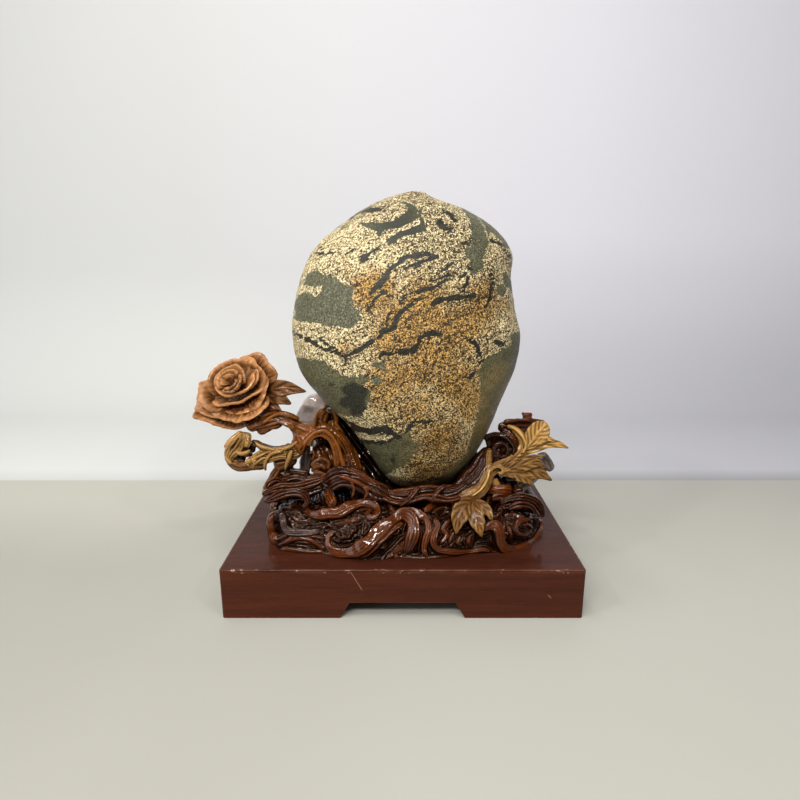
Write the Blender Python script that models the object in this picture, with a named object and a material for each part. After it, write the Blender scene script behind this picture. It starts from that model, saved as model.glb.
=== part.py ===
"""A banded river stone resting in a carved root-wood stand, on a low mitred plinth.

Metres, +Z up, the front faces -Y. The origin is at the middle of the whole
object's footprint, on the surface that the plinth stands on.
"""

import math

import bmesh
import bpy
import numpy as np
from mathutils import Vector

MM = 0.001

# ---------------------------------------------------------------- driving dimensions
PLINTH_WIDTH = 0.360
PLINTH_DEPTH = 0.260
PLINTH_HEIGHT = 0.053
PLINTH_SHIFT = 0.024            # the flower reaches further out than the right leaves

BOARD_THICKNESS = 0.012
RAIL_THICKNESS = 0.016
CUTOUT_HEIGHT = 0.017
CUTOUT_SLOPE = 0.010            # how far each end of a cut-out leans in
CUTOUT_FRONT_WIDTH = 0.125      # at the table
CUTOUT_SIDE_WIDTH = 0.090

JOINT_GAP = 0.0003              # between neighbouring pieces
CUT_ALLOWANCE = 0.0006          # how far a neighbour is grown before it cuts

SEAT_CENTRE = (34, -4)          # plan centre of the stone's seat, mm from the plinth's centre
SEAT_RADII = (56, 52)           # of the rim round the stone, mm
MOUND_TOP = 94                  # mm above the table
MOUND_CENTRE = (15, -10)
MOUND_BURIED = 6                # how far it starts below the board, before it is cut off flat

STONE_AROUND = 32
STONE_RINGS = 21
STONE_SQUARENESS = 2.25         # 2 is an ellipse, more is squarer
STONE_SKEW = 0.10               # the right flank turns away from the front

# Stone: height, left, right, front and back, in mm from the plinth's centre.
STONE_STATIONS = (
    (80, 28, 40, 2, 14),
    (86, 16, 48, -9, 26),
    (98, -12, 61, -33, 41),
    (115, -26, 74, -54, 55),
    (145, -42, 90, -76, 72),
    (165, -54, 99, -86, 80),
    (180, -66, 105, -92, 85),
    (194, -80, 110, -95, 88),
    (210, -94, 117, -97, 92),
    (235, -111, 127, -99, 96),
    (270, -117, 131, -97, 98),
    (300, -115, 123, -91, 96),
    (330, -107, 119, -82, 90),
    (355, -96, 119, -70, 82),
    (378, -72, 102, -55, 68),
    (398, -43, 70, -37, 48),
    (410, -15, 36, -20, 30),
    (417, 6, 23, -6, 14),
)

# The carving's outline on the plinth, mm, anticlockwise from the front left.
CARVING_FOOT = (
    (-143, -66), (-128, -92), (-84, -98), (-2, -106), (69, -98), (130, -83),
    (157, -45), (160, 5), (152, 50), (124, 80), (60, 95), (-20, 97), (-88, 88),
    (-130, 60), (-146, 10), (-147, -38),
)


# ---------------------------------------------------------------- scene and materials
def clear_scene():
    for item in list(bpy.data.objects):
        bpy.data.objects.remove(item, do_unlink=True)


def finish(name, colour, roughness, metallic=0.0):
    material = bpy.data.materials.new(name)
    material.use_nodes = True
    shader = material.node_tree.nodes["Principled BSDF"]
    shader.inputs["Base Color"].default_value = (*colour, 1.0)
    shader.inputs["Roughness"].default_value = roughness
    shader.inputs["Metallic"].default_value = metallic
    material.diffuse_color = (*colour, 1.0)
    return material


def place(x, y, z):
    """A point given in mm from the plinth's centre, in metres from the origin."""
    return Vector((x * MM + PLINTH_SHIFT, y * MM, z * MM))


def add_object(name, bm, material):
    mesh = bpy.data.meshes.new(name)
    bm.to_mesh(mesh)
    bm.free()
    thing = bpy.data.objects.new(name, mesh)
    bpy.context.scene.collection.objects.link(thing)
    mesh.materials.append(material)
    return thing


# ---------------------------------------------------------------- mesh helpers
def smooth_path(values, steps):
    """Catmull-Rom through rows of values, with the given steps per span."""
    rows = np.array(values, float)
    padded = np.vstack([2 * rows[0] - rows[1], rows, 2 * rows[-1] - rows[-2]])
    out = []
    for i in range(1, len(padded) - 2):
        p0, p1, p2, p3 = padded[i - 1:i + 3]
        for step in range(steps):
            t = step / steps
            out.append(0.5 * (2 * p1 + (p2 - p0) * t
                              + (2 * p0 - 5 * p1 + 4 * p2 - p3) * t ** 2
                              + (3 * p1 - p0 - 3 * p2 + p3) * t ** 3))
    out.append(rows[-1])
    return np.array(out)


def close_rings(bm, rings, first_point, last_point):
    """Skin a stack of rings and close both ends to a point."""
    count = len(rings[0])
    loops = [[bm.verts.new(p) for p in ring] for ring in rings]
    start = bm.verts.new(first_point)
    end = bm.verts.new(last_point)
    for low, high in zip(loops[:-1], loops[1:]):
        for j in range(count):
            k = (j + 1) % count
            bm.faces.new((low[j], low[k], high[k], high[j]))
    for j in range(count):
        k = (j + 1) % count
        bm.faces.new((start, loops[0][k], loops[0][j]))
        bm.faces.new((end, loops[-1][j], loops[-1][k]))


def strand(bm, points, flat=1.0, face=(0, -1, 0.4), sides=10, steps=4):
    """A carved strand. points are (x, y, z, radius) in mm, and flat thins it along face."""
    path = smooth_path(points, steps)
    face = np.array(face, float)
    rings = []
    for i, (x, y, z, radius) in enumerate(path):
        ahead = path[min(i + 1, len(path) - 1), :3] - path[max(i - 1, 0), :3]
        ahead /= np.linalg.norm(ahead)
        wide = np.cross(face, ahead)
        if np.linalg.norm(wide) < 0.2:
            wide = np.cross((0.3, 0.2, 1.0), ahead)
        wide /= np.linalg.norm(wide)
        thin = np.cross(ahead, wide)
        radius = max(radius, 0.6)
        ring = []
        for j in range(sides):
            angle = 2 * math.pi * j / sides
            offset = wide * math.cos(angle) * radius + thin * math.sin(angle) * radius * flat
            ring.append(place(x + offset[0], y + offset[1], z + offset[2]))
        rings.append((ring, ahead, radius * max(flat, 0.5) * 0.8, (x, y, z)))
    first, last = rings[0], rings[-1]
    start = place(*(np.array(first[3]) - first[1] * first[2]))
    end = place(*(np.array(last[3]) + last[1] * last[2]))
    close_rings(bm, [r[0] for r in rings], start, end)


def lump(bm, centre, radii):
    """A rounded boss, in mm."""
    made = bmesh.ops.create_icosphere(bm, subdivisions=2, radius=1.0)
    for vert in made["verts"]:
        vert.co = place(*(c + r * v for c, r, v in zip(centre, radii, vert.co)))


def evaluated_mesh(thing):
    depsgraph = bpy.context.evaluated_depsgraph_get()
    depsgraph.update()
    return bpy.data.meshes.new_from_object(thing.evaluated_get(depsgraph))


def bake_modifiers(thing):
    mesh = evaluated_mesh(thing)
    material = thing.data.materials[0]
    thing.modifiers.clear()
    thing.data = mesh
    if not mesh.materials:
        mesh.materials.append(material)


def keep_largest_body(thing):
    """Drop the crumbs and sealed pockets that fusing or cutting can leave, and triangulate."""
    bm = bmesh.new()
    bm.from_mesh(thing.data)
    unseen = set(bm.verts)
    bodies = []
    while unseen:
        body = [unseen.pop()]
        for vert in body:
            for edge in vert.link_edges:
                other = edge.other_vert(vert)
                if other in unseen:
                    unseen.remove(other)
                    body.append(other)
        reach = [max(v.co[i] for v in body) - min(v.co[i] for v in body) for i in range(3)]
        bodies.append((sum(reach), len(bodies), body))
    bodies.sort(key=lambda entry: entry[:2])
    for _, _, body in bodies[:-1]:
        bmesh.ops.delete(bm, geom=body, context="VERTS")
    bmesh.ops.triangulate(bm, faces=bm.faces[:])
    bm.to_mesh(thing.data)
    bm.free()


def fuse(name, bm, material, voxel, triangles):
    """Fuse overlapping forms into one carved skin.

    voxel is the finest detail kept, in mm, and triangles the count to bring it down to.
    """
    thing = add_object(name, bm, material)
    remesh = thing.modifiers.new("Fuse", "REMESH")
    remesh.mode = "VOXEL"
    remesh.voxel_size = voxel * MM
    bake_modifiers(thing)
    keep_largest_body(thing)
    thin = thing.modifiers.new("Facets", "DECIMATE")
    thin.ratio = min(1.0, triangles / len(thing.data.polygons))
    bake_modifiers(thing)
    return thing


def grown_copy(thing, amount):
    """A hidden copy with its skin moved out, which keeps a joint's gap when it cuts."""
    cutter = bpy.data.objects.new(thing.name + "_cutter", thing.data.copy())
    bpy.context.scene.collection.objects.link(cutter)
    cutter.hide_render = True
    cutter.display_type = "WIRE"
    bm = bmesh.new()
    bm.from_mesh(cutter.data)
    bm.normal_update()
    moves = [(v, v.normal * amount) for v in bm.verts]
    for vert, move in moves:
        vert.co += move
    bm.to_mesh(cutter.data)
    bm.free()
    return cutter


def cut_by(thing, *neighbours):
    """Take each neighbour, grown by the joint allowance, out of a piece."""
    for neighbour in neighbours:
        cutter = grown_copy(neighbour, CUT_ALLOWANCE)
        cut = thing.modifiers.new("Joint", "BOOLEAN")
        cut.operation = "DIFFERENCE"
        cut.object = cutter
        bake_modifiers(thing)
        bpy.data.objects.remove(cutter, do_unlink=True)
        keep_largest_body(thing)


def box_cutter(low, high):
    """A hidden box between two corners in metres, for trimming a piece flat."""
    bm = bmesh.new()
    made = bmesh.ops.create_cube(bm, size=1.0)
    for vert in made["verts"]:
        vert.co = Vector((low[i] + (vert.co[i] + 0.5) * (high[i] - low[i]) for i in range(3)))
    cutter = bpy.data.objects.new("trim", bpy.data.meshes.new("trim"))
    bm.to_mesh(cutter.data)
    bm.free()
    bpy.context.scene.collection.objects.link(cutter)
    cutter.hide_render = True
    cutter.display_type = "WIRE"
    return cutter


def trim_below(thing, height):
    """Cut a piece off flat at a height, in metres."""
    reach = PLINTH_WIDTH
    cutter = box_cutter((-reach, -reach, -reach), (reach, reach, height))
    cut = thing.modifiers.new("Trim", "BOOLEAN")
    cut.operation = "DIFFERENCE"
    cut.object = cutter
    bake_modifiers(thing)
    bpy.data.objects.remove(cutter, do_unlink=True)
    keep_largest_body(thing)


# ---------------------------------------------------------------- stone
def superellipse(angle, power):
    c, s = math.cos(angle), math.sin(angle)
    across = math.copysign(abs(c) ** (2 / power), c)
    along = math.copysign(abs(s) ** (2 / power), s)
    return across, along


def build_stone(material):
    """A smooth cobble, broad at the shoulders and drawn in to its foot."""
    rows = smooth_path(STONE_STATIONS, 10)
    order = np.linspace(0, len(rows) - 1, STONE_RINGS).round().astype(int)
    rings = []
    for z, left, right, front, back in rows[order]:
        middle = (left + right) / 2
        half_x, half_y = (right - left) / 2, (back - front) / 2
        ring = []
        for j in range(STONE_AROUND):
            angle = 2 * math.pi * j / STONE_AROUND
            across, along = superellipse(angle, STONE_SQUARENESS)
            swell = 1 + 0.012 * math.sin(3 * angle + z * 0.021) * math.sin(z * 0.017)
            x = middle + across * half_x
            y = (front + back) / 2 + along * half_y * swell + STONE_SKEW * across * half_x
            ring.append(place(x, y, z))
        rings.append(ring)
    bm = bmesh.new()
    foot, crown = rows[0], rows[-1]
    poles = [place((row[1] + row[2]) / 2, (row[3] + row[4]) / 2, row[0] + rise)
             for row, rise in ((foot, -0.6), (crown, 0.8))]
    close_rings(bm, rings, *poles)
    bmesh.ops.triangulate(bm, faces=bm.faces[:])
    bmesh.ops.recalc_face_normals(bm, faces=bm.faces[:])
    stone = add_object("stone", bm, material)
    stone.data.shade_smooth()
    return stone


# ---------------------------------------------------------------- carved stand
def foot_radius(angle):
    """How far the carving's foot lies from the mound's centre in a plan direction."""
    centre = np.array(MOUND_CENTRE, float)
    spokes = np.array(CARVING_FOOT, float) - centre
    angles = np.arctan2(spokes[:, 1], spokes[:, 0])
    return np.interp(angle, angles[np.argsort(angles)],
                     np.hypot(spokes[:, 0], spokes[:, 1])[np.argsort(angles)],
                     period=2 * math.pi)


def mound(bm):
    """The solid heart of the carving, from its foot up to the rim round the stone."""
    around, levels = 48, 7
    foot_height = PLINTH_HEIGHT / MM - MOUND_BURIED
    rings = []
    for level in range(levels + 1):
        inward = 1 - math.cos(level / levels * math.pi / 2)
        height = math.sin(level / levels * math.pi / 2)
        ring = []
        for j in range(around):
            angle = 2 * math.pi * j / around
            foot = np.array(MOUND_CENTRE) + foot_radius(angle) * np.array(
                (math.cos(angle), math.sin(angle)))
            rim = np.array(SEAT_CENTRE) + np.array(SEAT_RADII) * 0.9 * np.array(
                (math.cos(angle), math.sin(angle)))
            x, y = foot * (1 - inward) + rim * inward
            ring.append(place(x, y, foot_height + (MOUND_TOP - foot_height) * height))
        rings.append(ring)
    close_rings(bm, rings, place(*MOUND_CENTRE, foot_height), place(*SEAT_CENTRE, MOUND_TOP))


FRONT_STRANDS = (
    # the ridge at the left, running in to the arch
    ((-150, -58, 96, 4), (-138, -58, 103, 6), (-112, -46, 103, 6), (-86, -38, 106, 6),
     (-69, -34, 110, 7)),
    # its hook, curling forward
    ((-138, -60, 108, 3), (-132, -63, 101, 4), (-120, -62, 103, 4), (-107, -65, 102, 5),
     (-105, -71, 98, 5), (-110, -77, 94, 4), (-118, -80, 90, 3)),
    # the broken stump at the corner
    ((-147, -76, 88, 7), (-142, -80, 76, 9), (-139, -82, 60, 8)),
    # low waves along the left foot
    ((-143, -84, 57, 4), (-127, -97, 60, 5), (-115, -97, 69, 5), (-105, -97, 72, 5),
     (-93, -99, 70, 5), (-82, -104, 60, 4)),
    ((-130, -88, 78, 4), (-115, -90, 84, 5), (-100, -88, 84, 5), (-86, -90, 80, 4)),
    # the S-scroll and its eye
    ((-98, -62, 91, 5), (-92, -74, 91, 5), (-81, -81, 89, 5), (-67, -82, 90, 5),
     (-54, -74, 95, 5), (-44, -70, 97, 5), (-33, -72, 97, 5), (-24, -80, 95, 5),
     (-26, -90, 90, 5), (-34, -90, 90, 4)),
    # the large U-scroll
    ((-74, -94, 80, 6), (-77, -103, 68, 7), (-68, -108, 61, 8), (-55, -112, 61, 8),
     (-42, -112, 67, 8), (-31, -108, 76, 8), (-22, -100, 84, 7), (-12, -93, 88, 7),
     (-1, -87, 92, 6), (8, -83, 94, 5), (16, -86, 93, 5), (24, -95, 87, 5)),
    ((-62, -110, 55, 5), (-34, -114, 60, 6), (-14, -110, 73, 6), (0, -102, 82, 4)),
    # the amber boss at the middle
    ((2, -90, 90, 6), (13, -97, 86, 9), (13, -106, 76, 9), (10, -111, 62, 8)),
    # the small arch and the scroll under the lower leaf
    ((22, -86, 93, 5), (31, -74, 98, 5), (46, -67, 100, 5), (53, -73, 98, 5),
     (54, -89, 89, 5)),
    ((28, -95, 88, 6), (23, -106, 78, 6), (31, -112, 67, 6), (44, -111, 61, 6),
     (69, -104, 59, 6), (92, -100, 59, 5)),
    # the fluted scroll at the right
    ((84, -88, 86, 5), (98, -92, 81, 6), (102, -100, 68, 6), (110, -99, 60, 5),
     (124, -92, 59, 5), (140, -81, 60, 5), (148, -68, 64, 4)),
    ((100, -104, 56, 4), (121, -101, 57, 4), (141, -86, 57, 4), (152, -66, 60, 4),
     (156, -46, 70, 4)),
    ((104, -80, 84, 4), (118, -74, 86, 4), (130, -74, 82, 4), (128, -82, 76, 4),
     (117, -85, 74, 4)),
)

BACK_STRANDS = (
    ((-146, -30, 66, 6), (-144, 10, 78, 7), (-134, 48, 72, 7), (-108, 78, 62, 6)),
    ((-120, 68, 58, 6), (-92, 88, 66, 7), (-60, 94, 82, 6), (-34, 92, 80, 6),
     (-28, 99, 66, 5), (-46, 102, 60, 5)),
    ((-24, 98, 60, 6), (6, 98, 74, 7), (34, 92, 84, 6), (60, 90, 80, 6), (84, 92, 66, 6),
     (112, 84, 59, 5)),
    ((-100, 30, 92, 6), (-76, 52, 97, 7), (-44, 68, 94, 7), (-14, 80, 84, 6)),
    ((128, 60, 62, 6), (116, 54, 80, 7), (92, 60, 92, 7), (66, 72, 92, 6)),
    ((156, -20, 66, 6), (150, 14, 76, 7), (146, 44, 66, 6)),
    # two roots that hold the stone from behind
    ((-44, 74, 80, 10), (-38, 62, 104, 9), (-34, 58, 124, 7), (-40, 62, 140, 4)),
    ((96, 66, 78, 10), (88, 58, 104, 9), (86, 56, 126, 7), (92, 58, 142, 4)),
)

def build_carved_base(material):
    bm = bmesh.new()
    mound(bm)
    for points in FRONT_STRANDS + BACK_STRANDS:
        strand(bm, points)
    # the rim that the stone sits in, which rises and dips three times
    rim = []
    for angle in np.linspace(0, 2 * math.pi, 31):
        rim.append((SEAT_CENTRE[0] + SEAT_RADII[0] * math.cos(angle),
                    SEAT_CENTRE[1] + SEAT_RADII[1] * math.sin(angle),
                    MOUND_TOP + 1 + 2 * math.sin(3 * angle), 6))
    strand(bm, rim, face=(0, 0, 1), steps=1)
    # the smooth lobe that stands behind the left root
    strand(bm, ((-80, 46, 76, 18), (-88, 40, 116, 20), (-96, 33, 150, 23),
                (-101, 31, 177, 18)), flat=0.6)
    # the carved leaf below the arch, the amber knob, and the swelling grounds
    strand(bm, ((-74, -42, 110, 6), (-46, -50, 106, 10), (-17, -56, 101, 3)), flat=0.5)
    lump(bm, (-81, -50, 98), (10, 8, 9))
    lump(bm, (-114, -56, 74), (30, 30, 24))
    lump(bm, (118, -66, 70), (30, 26, 17))
    lump(bm, (-92, 10, 82), (34, 40, 20))
    lump(bm, (100, -20, 82), (30, 34, 20))
    base = fuse("carved_base", bm, material, voxel=2.6, triangles=2800)
    trim_below(base, PLINTH_HEIGHT + JOINT_GAP)
    return base


def build_left_root(material):
    """The arch at the left, with the rough knob that bears on the stone."""
    bm = bmesh.new()
    strand(bm, ((-113, -40, 92, 9), (-116, -38, 112, 7), (-117, -37, 132, 7),
                (-115, -36, 149, 7), (-107, -35, 162, 8), (-94, -35, 168, 8),
                (-79, -36, 164, 9), (-66, -38, 151, 9), (-58, -42, 134, 10),
                (-50, -46, 117, 12), (-36, -52, 98, 12)))
    strand(bm, ((-80, -34, 156, 10), (-84, -28, 171, 10), (-86, -25, 184, 8)))
    strand(bm, ((-108, -16, 88, 9), (-109, -18, 116, 8), (-108, -20, 140, 8),
                (-102, -28, 160, 9)))
    strand(bm, ((-70, 0, 88, 16), (-84, -2, 120, 15), (-88, -8, 146, 14),
                (-85, -22, 166, 10)))
    strand(bm, ((-102, -26, 92, 13), (-106, -28, 120, 12), (-108, -30, 142, 9)))
    lump(bm, (-111, -34, 166), (11, 10, 10))
    return fuse("left_root", bm, material, voxel=2.2, triangles=380)


def build_peony_stem(material):
    bm = bmesh.new()
    strand(bm, ((-108, -35, 164, 9), (-116, -33, 172, 9), (-126, -31, 178, 8),
                (-138, -29, 178, 8), (-150, -28, 169, 9), (-160, -26, 167, 8),
                (-170, -22, 175, 9), (-177, -15, 187, 10)))
    return fuse("peony_stem", bm, material, voxel=1.8, triangles=190)


def build_peony_leaf(material):
    """The toothed leaf that stands out to the right of the flower."""
    bm = bmesh.new()
    strand(bm, ((-158, -14, 206, 8), (-143, -18, 210, 12), (-126, -20, 210, 8),
                (-107, -20, 206, 1.5)), flat=0.35)
    strand(bm, ((-150, -17, 208, 8), (-140, -18, 217, 5), (-132, -18, 218, 1.5)), flat=0.4)
    strand(bm, ((-148, -20, 204, 9), (-136, -22, 195, 8), (-123, -23, 193, 1.5)), flat=0.4)
    strand(bm, ((-150, -20, 200, 9), (-136, -24, 188, 7), (-128, -26, 180, 2)), flat=0.5)
    return fuse("peony_leaf", bm, material, voxel=1.7, triangles=150)


def petal(bm, centre, axis, side, reach, width, opening, curl, thick=2.8):
    """One cupped petal of a flower that faces along axis, leaning out towards side.

    reach and width are in mm. opening is its lean from the axis, and curl how far it
    wraps round the flower, both in degrees.
    """
    across = np.cross(axis, side)
    centre = np.array(centre, float)
    lean = math.radians(opening)
    wrap = math.radians(curl)
    grow = axis * math.cos(lean) + side * math.sin(lean)
    out = side * math.cos(lean) - axis * math.sin(lean)
    rows, columns = 5, 6
    shells = []
    for shell in (0.5, -0.5):
        grid = []
        for i in range(rows + 1):
            u = i / rows
            half = width / 2 * (0.25 + 0.75 * math.sin(u * math.pi * 0.62))
            line = []
            for j in range(columns + 1):
                v = 2 * j / columns - 1
                length = reach * u * (1 - 0.2 * v * v * u)
                belly = 0.22 * reach * math.sin(u * math.pi * 0.85)
                inward = half / wrap * (1 - math.cos(wrap * v))
                spot = (centre + grow * length + across * half / wrap * math.sin(wrap * v)
                        + out * (belly - inward + thick * shell))
                line.append(bm.verts.new(place(*spot)))
            grid.append(line)
        shells.append(grid)
    outer, inner = shells
    for i in range(rows):
        for j in range(columns):
            bm.faces.new((outer[i][j], outer[i][j + 1], outer[i + 1][j + 1], outer[i + 1][j]))
            bm.faces.new((inner[i][j], inner[i + 1][j], inner[i + 1][j + 1], inner[i][j + 1]))
    edge = ([(i, 0) for i in range(rows)] + [(rows, j) for j in range(columns)]
            + [(i, columns) for i in range(rows, 0, -1)] + [(0, j) for j in range(columns, 0, -1)])
    for (a, b), (c, d) in zip(edge, edge[1:] + edge[:1]):
        bm.faces.new((outer[a][b], outer[c][d], inner[c][d], inner[a][b]))


FLOWER_CENTRE = (-180, -8, 202)
FLOWER_AXIS = (-0.05, -0.84, 0.54)      # the way the open flower faces

# Petals: direction round the flower seen from the front (0 right, 90 up), opening,
# reach, width and curl.
FLOWER_PETALS = (
    (200, 8, 36, 34, 70), (272, 8, 36, 34, 70), (344, 8, 36, 34, 70), (56, 8, 37, 34, 70),
    (128, 8, 37, 34, 70),
    (232, 24, 40, 46, 60), (300, 24, 40, 48, 60), (8, 24, 42, 46, 60), (84, 20, 42, 44, 60),
    (160, 22, 38, 42, 60),
    (262, 44, 42, 54, 48), (320, 46, 44, 54, 48), (28, 40, 46, 52, 48), (76, 38, 46, 40, 48),
    (196, 44, 40, 46, 48),
    (207, 64, 54, 42, 34), (258, 68, 44, 52, 34), (312, 66, 48, 56, 34), (12, 60, 44, 50, 38),
)


def build_peony_bloom(material):
    bm = bmesh.new()
    axis = np.array(FLOWER_AXIS) / np.linalg.norm(FLOWER_AXIS)
    right = np.cross(axis, (0, 0, 1))
    right /= -np.linalg.norm(right)
    up = np.cross(axis, right)
    heart = np.array(FLOWER_CENTRE) + axis * 22
    lump(bm, heart, (17, 17, 17))
    lump(bm, np.array(FLOWER_CENTRE) + axis * 6, (24, 18, 22))
    for direction, opening, reach, width, curl in FLOWER_PETALS:
        angle = math.radians(direction)
        side = right * math.cos(angle) + up * math.sin(angle)
        petal(bm, FLOWER_CENTRE, axis, side, reach, width, opening, curl)
    return fuse("peony_bloom", bm, material, voxel=1.7, triangles=1150)


def build_bud_branch(material):
    """The lower side branch: a flame-like leaf that ends in the folded bud."""
    bm = bmesh.new()
    strand(bm, ((-108, -38, 134, 12), (-122, -38, 134, 12), (-138, -38, 131, 11),
                (-156, -38, 130, 12), (-170, -37, 134, 10)), flat=0.7)
    strand(bm, ((-112, -40, 118, 9), (-126, -40, 116, 8), (-136, -40, 122, 6)))
    strand(bm, ((-168, -35, 140, 10), (-174, -35, 154, 8), (-176, -34, 167, 1.5)), flat=0.6)
    strand(bm, ((-166, -36, 144, 9), (-182, -37, 148, 9), (-200, -36, 147, 1.5)), flat=0.6)
    strand(bm, ((-166, -37, 136, 9), (-182, -39, 134, 9), (-195, -38, 133, 4)), flat=0.7)
    strand(bm, ((-162, -38, 132, 10), (-174, -39, 126, 9), (-180, -37, 118, 2)), flat=0.7)
    strand(bm, ((-154, -38, 128, 7), (-152, -39, 117, 1.5)), flat=0.6)
    strand(bm, ((-130, -40, 130, 6), (-128, -40, 115, 1.5)), flat=0.6)
    strand(bm, ((-156, -36, 138, 4), (-158, -36, 147, 3), (-165, -37, 156, 2),
                (-168, -37, 160, 1.5)))
    return fuse("bud_branch", bm, material, voxel=1.9, triangles=360)


def build_right_root(material):
    """The dark root at the right: its spiral, the knob on top and the broken stub."""
    bm = bmesh.new()
    strand(bm, ((92, -26, 86, 13), (97, -28, 108, 13), (101, -28, 128, 13),
                (105, -27, 147, 12), (112, -25, 162, 10), (123, -25, 170, 8),
                (138, -26, 173, 6), (154, -28, 169, 3)))
    strand(bm, ((138, -26, 170, 6), (141, -25, 178, 5)))
    # the cheek that hugs the stone
    strand(bm, ((54, -50, 92, 14), (72, -48, 103, 14), (86, -42, 120, 13), (94, -38, 138, 9),
                (95, -37, 152, 3)))
    # the spiral
    lump(bm, (108, -36, 146), (10, 8, 10))
    strand(bm, ((88, -33, 158, 3), (99, -37, 162, 4), (111, -41, 160, 4), (120, -43, 152, 4),
                (120, -44, 141, 4), (111, -44, 134, 4), (101, -43, 137, 4)))
    strand(bm, ((84, -46, 90, 10), (96, -50, 96, 9), (113, -48, 99, 8), (131, -44, 99, 7)))
    strand(bm, ((116, -22, 90, 10), (136, -22, 100, 10), (154, -20, 120, 9),
                (160, -20, 136, 6)))
    return fuse("right_root", bm, material, voxel=2.2, triangles=470)


def build_right_ribbon(material):
    """The golden ribbon that climbs from the scrolls and carries the right leaves."""
    bm = bmesh.new()
    strand(bm, ((60, -64, 94, 8), (75, -62, 97, 9), (86, -58, 105, 9), (92, -54, 115, 9),
                (96, -51, 124, 8), (103, -49, 130, 7), (114, -47, 134, 8),
                (125, -45, 140, 9), (133, -43, 150, 9), (133, -41, 160, 7),
                (126, -39, 168, 5), (116, -36, 171, 3)), flat=0.7)
    return fuse("right_ribbon", bm, material, voxel=2.0, triangles=230)


def build_right_upper_leaf(material):
    """The leaf whose long tip reaches furthest to the right."""
    bm = bmesh.new()
    strand(bm, ((122, -45, 146, 6), (137, -46, 152, 7), (152, -46, 158, 5),
                (166, -47, 158, 3), (177, -50, 152, 1.5)), flat=0.5)
    strand(bm, ((128, -44, 150, 7), (144, -42, 165, 9), (160, -39, 176, 2)), flat=0.45)
    strand(bm, ((130, -44, 154, 6), (138, -42, 168, 6), (146, -40, 178, 2)), flat=0.5)
    return fuse("right_upper_leaf", bm, material, voxel=1.6, triangles=210)


def build_right_mid_leaf(material):
    bm = bmesh.new()
    strand(bm, ((104, -52, 122, 6), (122, -55, 129, 9), (142, -55, 135, 8),
                (161, -54, 143, 1.5)), flat=0.45)
    strand(bm, ((108, -54, 122, 6), (128, -58, 121, 8), (145, -60, 121, 6),
                (158, -60, 116, 1.5)), flat=0.45)
    strand(bm, ((110, -56, 120, 5), (126, -61, 116, 6), (141, -62, 111, 1.5)), flat=0.5)
    return fuse("right_mid_leaf", bm, material, voxel=1.6, triangles=200)


def build_lower_leaf(material):
    """Three lobes that fall forward over the scroll at the front."""
    bm = bmesh.new()
    facing = (0, -0.8, 0.6)
    strand(bm, ((70, -70, 100, 7), (60, -80, 90, 10), (51, -92, 66, 1.5)), 0.4, facing)
    strand(bm, ((71, -71, 100, 7), (72, -82, 89, 10), (81, -92, 67, 1.5)), 0.4, facing)
    strand(bm, ((72, -70, 100, 7), (82, -77, 94, 8), (95, -83, 84, 1.5)), 0.4, facing)
    return fuse("lower_leaf", bm, material, voxel=1.6, triangles=180)


# ---------------------------------------------------------------- plinth
MITRE_SLACK = JOINT_GAP * math.sqrt(2)      # a drop that leaves the gap across a 45 degree mitre


def prism(bm, ends):
    """Close a solid between two matching end outlines."""
    loops = [[bm.verts.new(p) for p in end] for end in ends]
    count = len(loops[0])
    bm.faces.new(loops[0])
    bm.faces.new(loops[1][::-1])
    for j in range(count):
        k = (j + 1) % count
        bm.faces.new((loops[0][k], loops[0][j], loops[1][j], loops[1][k]))
    bmesh.ops.recalc_face_normals(bm, faces=bm.faces[:])


def build_rail(name, length, half_depth, cutout, turn, material):
    """One rail, mitred at its ends and under the board's edge, with a low cut-out."""
    under_board = PLINTH_HEIGHT - BOARD_THICKNESS - MITRE_SLACK
    section = ((0, 0), (0, PLINTH_HEIGHT - MITRE_SLACK), (BOARD_THICKNESS, under_board),
               (RAIL_THICKNESS, under_board), (RAIL_THICKNESS, 0))
    ends = []
    for side in (-1, 1):
        ends.append([Vector((side * (length / 2 - depth - MITRE_SLACK / 2),
                             -half_depth + depth, height)) for depth, height in section])
    bm = bmesh.new()
    prism(bm, ends)
    rail = add_object(name, bm, material)

    foot, top = cutout / 2, cutout / 2 - CUTOUT_SLOPE
    below = -0.01
    opening = ((-foot, below), (-foot, 0), (-top, CUTOUT_HEIGHT), (top, CUTOUT_HEIGHT),
               (foot, 0), (foot, below))
    bm = bmesh.new()
    prism(bm, [[Vector((across, -half_depth + depth, height)) for across, height in opening]
               for depth in (-0.01, RAIL_THICKNESS + 0.01)])
    cutter = add_object("rail_opening", bm, material)
    cutter.hide_render = True
    cutter.display_type = "WIRE"
    cut = rail.modifiers.new("Cutout", "BOOLEAN")
    cut.operation = "DIFFERENCE"
    cut.object = cutter
    bake_modifiers(rail)
    bpy.data.objects.remove(cutter, do_unlink=True)
    rail.rotation_euler.z = math.radians(turn)
    rail.location.x = PLINTH_SHIFT
    return rail


def build_board(material):
    """The top board, its edges mitred down to the rails."""
    ends = []
    for inset, height in ((BOARD_THICKNESS, PLINTH_HEIGHT - BOARD_THICKNESS),
                          (0, PLINTH_HEIGHT)):
        across, along = PLINTH_WIDTH / 2 - inset, PLINTH_DEPTH / 2 - inset
        ends.append([Vector((x * across + PLINTH_SHIFT, y * along, height))
                     for x, y in ((-1, -1), (1, -1), (1, 1), (-1, 1))])
    bm = bmesh.new()
    prism(bm, ends)
    return add_object("plinth_board", bm, material)


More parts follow.
